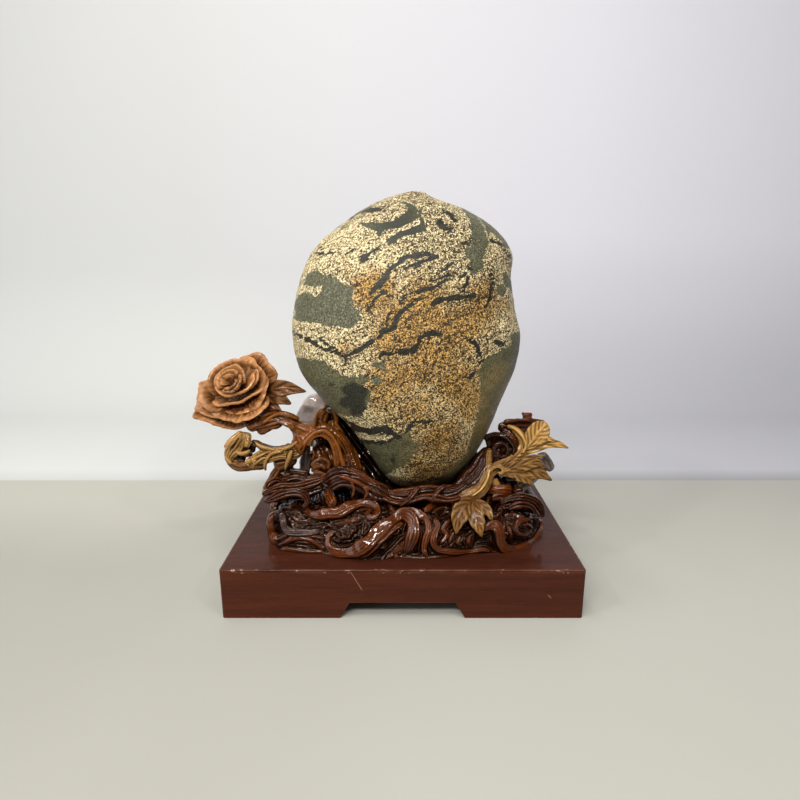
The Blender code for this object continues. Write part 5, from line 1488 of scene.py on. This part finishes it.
RIGHT_ROOT = (
    solid(4, (0, .05), ((92, -22, 86, 13), (98, -24, 108, 13), (104, -24, 128, 13), (110, -23, 147, 12),
        (116, -22, 160, 9)), .14),
    # the dark ledge over the ribbon, with its squarish knob
    seen(3, .08, ((498, 430, -30, 5), (505, 427, -31, 7), (515, 427, -32, 8), (526, 427, -31, 8),
        (536, 426, -30, 6), (546, 423, -30, 2.5)), .3, .8),
    seen(1, .2, ((503, 424, -36, 1.6), (507, 421.5, -37, 2.4), (518, 420.3, -37, 2.6),
        (532, 420.5, -36, 2.6), (545, 421.5, -33, 1.8))),
    seen(0, .3, ((522.5, 418, -32, 3.8), (525, 416.5, -32, 5), (529, 416, -32, 5), (531.5, 418, -32, 3.8))),
    seen(0, .35, ((521.5, 414.5, -32, 2), (524.5, 413, -33, 2.2))),
    seen(0, .35, ((529, 414, -32, 2), (532, 414.5, -33, 2.2))),
    # the cheek that hugs the stone
    seen(5, (.04, 0), ((488, 447, -32, 5), (484, 457, -37, 8), (479, 467, -43, 10), (472, 476, -49, 11),
        (463, 484, -54, 10), (453, 491, -58, 9), (441, 496, -62, 7)), .3),
    # the spiral on its dark disc
    seen(0, 0, ((497, 447, -30, 11), (504, 450, -32, 12.5), (507, 455, -34, 10))),
    seen(0, .3, ((513, 433, -33, 8), (519, 441, -36, 9), (519, 452, -39, 8))),
    # a thin strand painted near-black as a painted shadow line
    seen(1, 2, ((505, 432, -40, 1.6), (512, 437, -43, 2.4), (515, 444, -44, 2))),
    seen(2, -.03, ((484, 440, -34, 2.5), (489, 436, -37, 3.4), (496, 434.5, -41, 3.8), (504, 436, -43, 3.8),
        (511, 441, -45, 3.8), (514.5, 449, -46, 3.8), (513, 457, -47, 3.6), (506, 462, -47, 3.6),
        (498, 461, -47, 3.2), (494, 455, -47, 2.8), (494.5, 447.5, -47, 2.6), (500, 443, -47, 2.6),
        (506, 445, -47, 2.5), (508, 451, -47, 2.4), (505, 456.5, -47, 2.3), (499.5, 456, -47, 2.1),
        (498, 451.5, -47, 2), (501, 448.5, -47, 1.6)), .5),
    seen(2, -.05, ((485, 434, -32, 2), (488, 441, -34, 3.6), (489, 448, -36, 3))),
    seen(1, .05, ((498, 430, -37, 1.6), (505, 430, -40, 2.2), (511, 434, -43, 2.2), (516, 441, -45, 1.8))),
    # the shaded hollow, filled with a blob painted near-black as painted shade, and the broken stub below
    # it
    solid(0, 0, ((84, -40, 88, 10), (100, -36, 100, 11), (118, -34, 104, 9))),
    seen(0, 2, ((502, 479, -40, 6), (510, 479, -42, 7.4), (519, 482, -42, 6))),
    seen(3, (.6, .4), ((485, 492, -48, 5), (494, 489.8, -54, 5.4), (504, 489.5, -53, 5.4),
        (512, 490, -51, 5.4)), .25),
    seen(0, .12, ((512, 490.5, -49, 5), (518, 491.5, -48, 6), (523, 492, -46, 5))),
    seen(2, .05, ((490, 499, -58, 3), (501, 497, -56, 4), (515, 498, -52, 4.4), (523, 493, -46, 3))),
    solid(3, -.2, ((116, -22, 90, 10), (136, -22, 100, 10), (154, -20, 120, 9), (160, -20, 136, 6)), .14),
    seen(2, -.3, ((541, 452, -20, 5), (545, 459, -20, 7), (549, 467, -21, 6), (550, 472, -22, 3)), .28, .6),
)
RIGHT_RIBBON = (
    seen(5, (0, .7), ((452, 500, -66, 4.5), (462, 500.5, -66, 5.4), (471, 498, -65, 6.2),
        (480, 492, -62, 6.6), (486, 484, -58, 6.6), (489.5, 476, -54, 6.4), (495, 469, -51, 6),
        (504, 464.5, -50, 6), (514, 460, -48, 6.4), (521.5, 453, -46, 6.6), (524, 444, -44, 6.4),
        (520.5, 435, -42, 5.4), (513, 428, -40, 3.4), (506, 425, -37, 2)), .5, .8),
    seen(4, (.5, .3), ((490, 448, -42, 2.8), (488.5, 458, -45, 4), (487.5, 468, -49, 4.6),
        (483.5, 478, -54, 4.8), (476, 487, -59, 4.4), (465, 493, -63, 3.6), (454, 495, -65, 2.6)), .45),
    seen(1, .95, ((489, 470, -58, 1.2), (487, 479, -62, 1.8), (481, 489, -66, 1.8), (472, 496, -69, 1.2))),
    seen(2, .8, ((489, 474, -57, 1.6), (492.5, 468.5, -58, 2.4), (498, 466.5, -58, 2.6),
        (503, 469, -58, 2.4), (501, 473.5, -58, 2), (497, 472, -58, 1.4)), .4),
    seen(2, .7, ((500, 474, -55, 2), (508, 469, -57, 2.8), (514, 465.5, -57, 1.8)), .4),
    seen(1, 1, ((509, 426, -42, 1.3), (517, 430.5, -46, 1.9), (523, 438, -50, 1.9), (525.5, 446, -52, 1.8),
        (522, 454, -53, 1.3))), seen(0, .5, ((492, 478, -50, 5), (496, 485, -50, 5), (494, 490, -50, 4))),
)


def build_roots():
    for name, rows, node, finish, voxel in (
            ("arched_left_root", LEFT_ROOT, "left_root", WARM_LACQUER, .9),
            ("flower_stem", PEONY_STEM, "peony_stem", WARM_LACQUER, .9),
            ("branch_with_bud", BUD_BRANCH, "bud_branch", GOLDEN_LACQUER, .75),
            ("scrolled_right_root", RIGHT_ROOT, "right_root", DARK_LACQUER, .9),
            ("gilded_ribbon", RIGHT_RIBBON, "right_ribbon", GOLDEN_LACQUER, .75)):
        show_mesh(name, fused(sweep_strands(name, rows, 40), voxel), finish, node)


# ---- leaves and petals
def add_patch(skin, grid, top, under, tint, relief):
    """A closed blade: a grid of points thickened by top and under, in mm."""
    normals = grid_normals(grid)
    shells = (grid + normals * top[..., None], grid - normals * under[..., None])
    rows, columns = grid.shape[:2]
    count = rows * columns
    faces = []
    for i in range(rows - 1):
        for j in range(columns - 1):
            a, b = i * columns + j, i * columns + j + 1
            c, d = a + columns, b + columns
            faces.append((a, c, d, b))
            faces.append((a + count, b + count, d + count, c + count))
    edge = ([(i, 0) for i in range(rows - 1)] + [(rows - 1, j) for j in range(columns - 1)]
            + [(i, columns - 1) for i in range(rows - 1, 0, -1)]
            + [(0, j) for j in range(columns - 1, 0, -1)])
    ids = [i * columns + j for i, j in edge]
    for a, b in zip(ids, ids[1:] + ids[:1]):
        faces.append((a, a + count, b + count, b))
    points = np.concatenate([shell.reshape(-1, 3) for shell in shells])
    skin.add(points, faces, np.tile(tint.ravel(), 2), np.tile(relief.ravel(), 2))


LEAF_ROWS = 64
LEAF_COLUMNS = 25
LEAF_CUP = .2  # how far a leaf's sides rise, as a share of its half width
LEAF_HALF_THICKNESS = 1.2


def add_leaf(skin, spine, facing, teeth, toothing, veins, tint):
    """A leaf blade on a spine of (x, y, z, half width): toothed edge, midrib and side veins."""
    path = smooth_path(spine, PATH_STEPS)
    run = run_along(path)
    stops = np.linspace(0, 1, LEAF_ROWS)
    path = at_stops(path, run, stops * run[-1])
    wides, thins = guide_frames(path[:, :3], facing)
    v = np.linspace(-1, 1, LEAF_COLUMNS)[None, :]
    t = stops[:, None]
    bite = (teeth * t + .15) % 1.0
    half = path[:, 3:4] * (1 - toothing * bite ** 1.5 * np.abs(v) ** 3)
    lift = LEAF_CUP * half * v * v
    crest = .5 + .5 * np.cos(veins * (t - .28 * np.abs(v)) * 2 * pi)
    midrib = np.exp(-(v / .1) ** 2)
    top = LEAF_HALF_THICKNESS + .42 * crest * (1 - np.abs(v) ** 4) + .7 * midrib
    rim = eased(np.clip((1 - np.abs(v)) / .14, 0, 1) * np.clip(np.minimum(t, 1 - t) / .02, 0, 1))
    grid = (path[:, None, :3] + wides[:, None, :] * (half * v)[..., None]
            + thins[:, None, :] * lift[..., None])
    tone = tint[0] + (tint[1] - tint[0]) * (.5 * np.abs(v) + .5 * t)
    # relief paints the blade darker between its veins and off its midrib: painted shade, with some pooled
    # stain
    add_patch(skin, grid, top * rim + KNIFE_EDGE, LEAF_HALF_THICKNESS * rim + KNIFE_EDGE, tone,
              .35 + .5 * crest + .4 * midrib)


# Leaves: name, node, finish, tints from midrib to edge, and lobes of teeth, their depth,
# veins and a spine of frame points with depth and half width.
LEAVES = (
    ("leaf_with_long_tip", "right_upper_leaf", GOLDEN_LACQUER, (.8, 1.15), (0, -1, .3),
     ((1, .05, 3, ((522, 452, -46, 3), (533, 448, -49, 5.6), (547, 443.5, -50, 5.4), (559, 444.5, -50, 3.6),
     (568.5, 448, -52, .5))), (2, .12, 7, ((524, 451, -47, 4), (530, 443, -50, 9), (537, 434, -50, 12),
     (543, 427, -46, 10), (546, 422.5, -42, 2))), (1, .1, 3, ((525, 450, -48, 2), (534, 444, -52, 4),
     (545, 439, -52, 4), (556, 441, -51, 1))))),
    ("ragged_right_leaf", "right_mid_leaf", GOLDEN_LACQUER, (.1, .5), (0, -1, .2),
     ((2, .25, 5, ((499, 470, -52, 5), (514, 463, -55, 8), (530, 459.5, -56, 6), (546, 455.5, -54, .6))),
     (3, .25, 5, ((500, 471, -54, 6), (518, 468, -58, 11), (536, 471, -60, 9), (552, 480.5, -60, .7))),
     (2, .25, 4, ((503, 472, -54, 4), (517, 474, -60, 7), (528, 480, -62, 5.6), (532, 486.5, -62, .6))),
     (2, .25, 4, ((505, 470, -56, 4), (522, 465, -62, 7), (537, 463, -61, 5), (545, 467, -58, .8))))),
    ("falling_front_leaf", "lower_leaf", GOLDEN_LACQUER, (0, .5), (0, -.85, .5),
     ((2, .15, 5, ((475, 499, -68, 3), (465, 506, -80, 9), (459, 518, -90, 9), (456, 534, -96, .7))),
     (2, .15, 5, ((474, 500, -69, 3), (474, 511, -82, 8), (478, 524, -91, 8), (482, 537, -97, .7))),
     (1, .15, 3, ((475, 500, -68, 3), (483, 507, -78, 6.4), (489, 513, -84, 5), (492, 520, -88, .7))))),
    ("flower_leaf", "peony_leaf", FLOWER_WOOD, (.05, .45), (0, -1, .25), ((2, .14, 4, ((262, 393, -12, 6),
     (275, 389, -19, 9.5), (289, 388.5, -21, 8), (306, 391.5, -20, .6))), (1, .1, 2, ((266, 395, -15, 6),
     (279, 398, -22, 8), (291, 404, -23, 1))), (1, .1, 2, ((264, 400, -15, 7), (272, 407, -22, 8),
     (282, 417, -26, 4))))),
)


def build_leaves():
    for name, node, finish, tint, facing, lobes in LEAVES:
        skin = Skin()
        for teeth, toothing, veins, points in lobes:
            spine = [(*at(u, v, depth), half) for u, v, depth, half in points]
            add_leaf(skin, spine, facing, teeth, toothing, veins, tint)
        skin.show(name, finish, node)


FLOWER_CENTRE = np.array((-180.0, -8.0, 202.0))
FLOWER_AXIS = unit(np.array((-.05, -.84, .54)))
PETAL_DEPTH = 13.0  # from a petal's rim down to its foot
PETAL_HALF_THICKNESS = 1.6
OUTER_PETALS = 7  # the first rims, whose petals belly out further
RIM_ARC = 1.45  # half the arc in radians that a back petal's rim spans
# Petal rims seen from the front: frame points with their height along the flower's axis.
PETAL_RIMS = (
    ((236, 366, 12), (240, 358, 14), (248, 355.5, 15), (254, 353, 16), (261, 355, 16), (268, 363.5, 15),
     (274, 369.5, 14), (277, 375, 12), (275, 382, 10), (268, 389, 9)),
    ((272, 378, 3), (279, 384, 2), (283, 391, 1), (279, 398, 1), (275, 406, 2), (269, 419, 3),
     (262, 421, 5), (253, 419, 7)),
    ((199, 402, 3), (196, 409, 2), (193.6, 416, 0), (205.5, 419.5, 0), (220.5, 426, -2), (232, 428.5, -2),
     (242, 427.5, 0), (250, 422.5, 3), (259, 413, 6)),
    ((217, 378, 15), (210.5, 379, 15), (205.5, 381, 14), (200.5, 382.5, 13), (199.5, 388, 12),
     (200, 395, 11), (204, 400, 11)),
    ((200, 390, 8), (197.5, 397, 7), (197, 403, 6), (196, 409, 6), (203, 413, 6), (213, 416, 7),
     (222, 417, 8)),
    ((199, 403, 11), (210, 409, 11), (225, 412.5, 11), (238, 414.5, 11), (248, 412, 12), (256, 407, 13),
     (262, 400, 14), (267, 392, 14)),
    ((203, 396, 17), (210, 402, 17), (217, 405, 17), (225, 404.5, 17), (238, 401.5, 17), (250, 396.5, 18),
     (259, 391.5, 18), (266, 385, 18), (269, 377, 17)),
    ((236, 362, 21), (244, 357.5, 22), (251, 358.5, 23), (256, 365, 24), (258, 374, 24), (256, 382, 24),
     (250, 388, 24), (241, 393, 24)),
    ((213, 381, 27), (215, 388, 28), (221, 394, 28), (229, 396, 28), (240, 392, 28), (249, 387, 28),
     (254, 379, 28), (254, 371, 27)),
    ((214, 387, 29), (214.5, 380, 30), (218.5, 374, 31), (224, 369, 32), (231, 366, 32), (237, 365, 32),
     (242, 369, 32), (245, 376, 31), (245, 383, 31)),
    ((218, 389, 33), (216.5, 382, 34), (220, 376, 35), (227, 371.5, 36), (235, 370, 36), (239, 374, 36)),
    ((221, 391, 33), (230, 390.5, 34), (237, 386, 35), (241, 379, 36), (240, 373, 36)),
    ((221, 386, 36), (222, 379, 37), (228, 374.5, 38), (234, 374.5, 38)),
    ((223, 388, 36), (230, 387, 37), (236, 382, 37), (236, 377, 38)),
)
# Petals behind these: direction and opening in degrees, then reach and width in mm.
BACK_PETALS = (
    (200, 58, 46, 40), (250, 66, 40, 46), (305, 64, 44, 48), (350, 58, 40, 44), (45, 50, 42, 42),
    (100, 48, 40, 40), (150, 52, 40, 42),
)


def flower_point(u, v, height):
    """Where a sight line meets the plane at a height along the flower's axis."""
    way = sight_line(u, v)
    centre = FLOWER_CENTRE + FLOWER_AXIS * height
    return CAMERA_AT + way * ((centre - CAMERA_AT) @ FLOWER_AXIS) / (way @ FLOWER_AXIS)


def add_petal(skin, rim_points, heart, belly, seed, rows=30, columns=56, glow=0.0):
    """A cupped petal hung from its rim, with a rolled, rippled lip."""
    path = smooth_path(rim_points, 10)
    run = run_along(path)
    rim = at_stops(path, run, np.linspace(0, run[-1], columns))
    t = np.linspace(.12, 1, rows)[:, None]
    s = np.linspace(-1, 1, columns)[None, :]
    middle = rim.mean(axis=0) - heart
    out = unit(middle - FLOWER_AXIS * (middle @ FLOWER_AXIS))
    bulge = np.sin(pi * np.clip(t, 0, 1) ** .9) * belly * (1 - .5 * s * s)
    lip = np.clip((t - .8) / .2, 0, 1) ** 2 * 1.6
    flutes = np.sin(s * run[-1] * .42 + seed) * np.sin(s * run[-1] * .17 + 2 * seed)
    grid = heart + (rim[None] - heart) * t[..., None]
    grid = grid + (out * .8 - FLOWER_AXIS * .6) * bulge[..., None]
    grid = grid + (out * (lip + .35 * flutes * t ** 2)[..., None])
    flat = grid.reshape(-1, 3)
    rough = 1.2 * wavy(flat, 15, seed + 11) + .25 * wavy(flat, 4, seed + 31)
    grid = grid + (out - .4 * FLOWER_AXIS) * (rough.reshape(rows, columns) * t)[..., None]
    edge = eased(np.clip((1 - t) / .05, 0, 1) * np.clip((1 - np.abs(s)) / .05, 0, 1))
    fibres = wavy(np.stack((s * run[-1] + 9 * t, 6 * t + 0 * s, seed + 0 * (s + t)),
                           axis=-1).reshape(-1, 3), 2.6, seed).reshape(rows, columns)
    # tone tints each lip towards gold and glow lifts the inner petals: painted highlight on the lips and at
    # the heart, with the wood's own streaks; relief darkens each petal's foot as painted shade down in the
    # cup
    tone = .85 * t ** 5 + .12 * flutes + .35 * fibres + glow
    half = (PETAL_HALF_THICKNESS + .5 * np.clip(fibres, -.4, 1) * t) * edge + KNIFE_EDGE
    add_patch(skin, grid, half, half, tone, .15 + .85 * t + .15 * fibres)


def build_bloom():
    skin = Skin()
    right = -unit(np.cross(FLOWER_AXIS, (0, 0, 1)))
    up = np.cross(FLOWER_AXIS, right)
    for seed, (direction, opening, reach, width) in enumerate(BACK_PETALS):
        angle, lean = radians(direction), radians(opening)
        side = right * cos(angle) + up * sin(angle)
        grow = FLOWER_AXIS * cos(lean) + side * sin(lean)
        across = np.cross(FLOWER_AXIS, side)
        rim = [FLOWER_CENTRE + grow * reach * (.35 + .65 * cos(a) ** .5)
               + across * width / 2 * sin(a) / sin(RIM_ARC)
               for a in np.linspace(-RIM_ARC, RIM_ARC, 9)]
        add_petal(skin, rim, FLOWER_CENTRE + FLOWER_AXIS * 2, 5.0, seed + 20, 16, 30)
    for seed, points in enumerate(PETAL_RIMS):
        rim = [flower_point(*point) for point in points]
        level = np.mean([point[2] for point in points]) - PETAL_DEPTH
        # glow tints the inner petals lighter: a painted highlight at the flower's heart
        add_petal(skin, rim, FLOWER_CENTRE + FLOWER_AXIS * level,
                  4.0 if seed < OUTER_PETALS else 3.0, seed, glow=.07 * seed - .1)
    skin.show("open_flower", FLOWER_WOOD, "peony_bloom")


build_base()
build_roots()
build_leaves()
build_bloom()


# ---- studio
FLOOR_REACH = 6.0  # all here in metres
FLOOR_SIDES = 96
FLOOR_END = .236  # behind the plinth's middle, where the paint changes
SWEEP_START = .62  # where the backdrop leaves the floor
SWEEP_RADIUS = .33
BACKDROP_REACH = 3.0
LAMP = (.09, .09)
TUBE_LIGHT = (1.0, .98, .94)
LAMP_LIGHT = (1.0, .97, .92)
# Lights: name, place, size, power and colour.
LIGHTS = (
    ("near_tube", (-.45, -1.35, 1.4), (.9, .07), 20.8, TUBE_LIGHT),
    ("middle_tube", (.35, -.75, 1.75), (1.2, .07), 8.7, TUBE_LIGHT),
    ("far_tube", (-.35, -.15, 1.8), (1.2, .07), 8.7, TUBE_LIGHT),
    ("left_lamp", (-1.2, -.8, 1.5), LAMP, 5.4, LAMP_LIGHT),
    ("right_lamp", (1.0, -1.1, 1.4), LAMP, 4.4, LAMP_LIGHT),
    ("middle_lamp", (.15, -1.5, 1.7), LAMP, 5.4, LAMP_LIGHT),
    ("ceiling_panel", (0.0, -.4, 2.3), (2.2, 2.2), 1.5, (1.0, .99, .97)),
    ("left_window", (-2.0, -1.0, .95), (1.2, 1.2), 14.8, (.97, .98, 1.0)),
)
LIGHTS_AIM = Vector((0, 0, .2))


def backdrop_paint(net, spot):
    """Pale paint, painted a little darker towards the right and near the floor as painted shade."""
    axes = net.add("ShaderNodeSeparateXYZ", spot)
    fall = net.steps(axes["X"], -.55, .5, smooth=False)
    clouding = (net.noise(spot, 2.0, detail=2.0) - .5) * .15
    fall = net.math("ADD", fall, clouding, clamp=True)
    low = net.mix(fall, (.665, .675, .66), (.5, .5, .54))
    high = net.mix(fall, (.635, .64, .64), (.745, .74, .8))
    return net.mix(net.steps(axes["Z"], 0.0, .45), low, high)


def floor_paint(net, spot):
    """Pale table top, painted darker at the front left than behind it and at the right as painted shade,
    with a painted contact shadow: a soft dark line where it meets the backdrop's paint.
    """
    axes = net.add("ShaderNodeSeparateXYZ", spot)
    along, aside = axes["Y"], axes["X"]
    # painted shade: the top is darker at the front left, lighter behind and towards the right
    left = net.mix(net.steps(along, -.05, .2), (.35, .345, .305), (.47, .465, .405))
    near = net.mix(net.steps(aside, -.4, .15), left, (.42, .415, .375))
    clouding = net.noise(spot, 3.0, detail=2.0)
    near = net.mix(net.steps(clouding, .3, .7, 0.0, .15), near, (.5, .49, .455))
    # corner is a painted contact shadow along the foot of the backdrop's paint, darker at the right
    corner = (net.steps(along, FLOOR_END + .05, FLOOR_END, smooth=False)
              * net.steps(aside, -.4, .2, .15, .4))
    beyond = net.mix(corner, backdrop_paint(net, spot), (.1, .1, .09))
    return net.mix(net.steps(along, FLOOR_END - .004, FLOOR_END + .004), near, beyond)


def build_stage(name, points, faces, paint):
    mesh = bpy.data.meshes.new(name)
    mesh.from_pydata(points, [], faces)
    mesh.shade_smooth()
    material, net, shader, spot = new_material(name, Roughness=.8, Specular_IOR_Level=.1)
    net.fill(shader, Base_Color=paint(net, spot))
    mesh.materials.append(material)
    put(name, mesh)


def build_studio():
    rim = [(FLOOR_REACH * cos(a), FLOOR_REACH * sin(a), -.0002)
           for a in np.linspace(0, 2 * pi, FLOOR_SIDES, endpoint=False)]
    build_stage("studio_floor", rim, [tuple(range(FLOOR_SIDES))], floor_paint)
    profile = [(SWEEP_START + SWEEP_RADIUS * sin(a), SWEEP_RADIUS * (1 - cos(a)) - .0003)
               for a in np.linspace(0, pi / 2, 24)]
    profile.append((SWEEP_START + SWEEP_RADIUS, BACKDROP_REACH))
    points = [(x, y, z) for x in (-BACKDROP_REACH, BACKDROP_REACH) for y, z in profile]
    count = len(profile)
    faces = [(i, i + count, i + count + 1, i + 1) for i in range(count - 1)]
    build_stage("studio_backdrop", points, faces, backdrop_paint)

    for name, where, size, power, colour in LIGHTS:
        light = bpy.data.lights.new(name, "AREA")
        light.shape = "RECTANGLE"
        light.size, light.size_y = size
        light.energy = power
        light.color = colour
        thing = put(name, light)
        thing.location = where
        thing.rotation_euler = (LIGHTS_AIM - Vector(where)).to_track_quat("-Z", "Y").to_euler()

    world = bpy.data.worlds.new("pale room")
    world.use_nodes = True
    Net(world.node_tree).fill(world.node_tree.nodes["Background"], Color=(.98, .98, 1.0),
                              Strength=.16)
    bpy.context.scene.world = world
    bpy.context.scene.view_settings.view_transform = "Standard"

    camera = bpy.data.cameras.new("view")
    camera.sensor_width = SENSOR_WIDTH
    camera.lens = FOCAL_PX / FRAME_PX * SENSOR_WIDTH
    thing = put("view", camera)
    thing.location = place(CAMERA_AT)
    thing.rotation_euler = (pi / 2 - CAMERA_TILT, 0, 0)
    bpy.context.scene.camera = thing


build_studio()
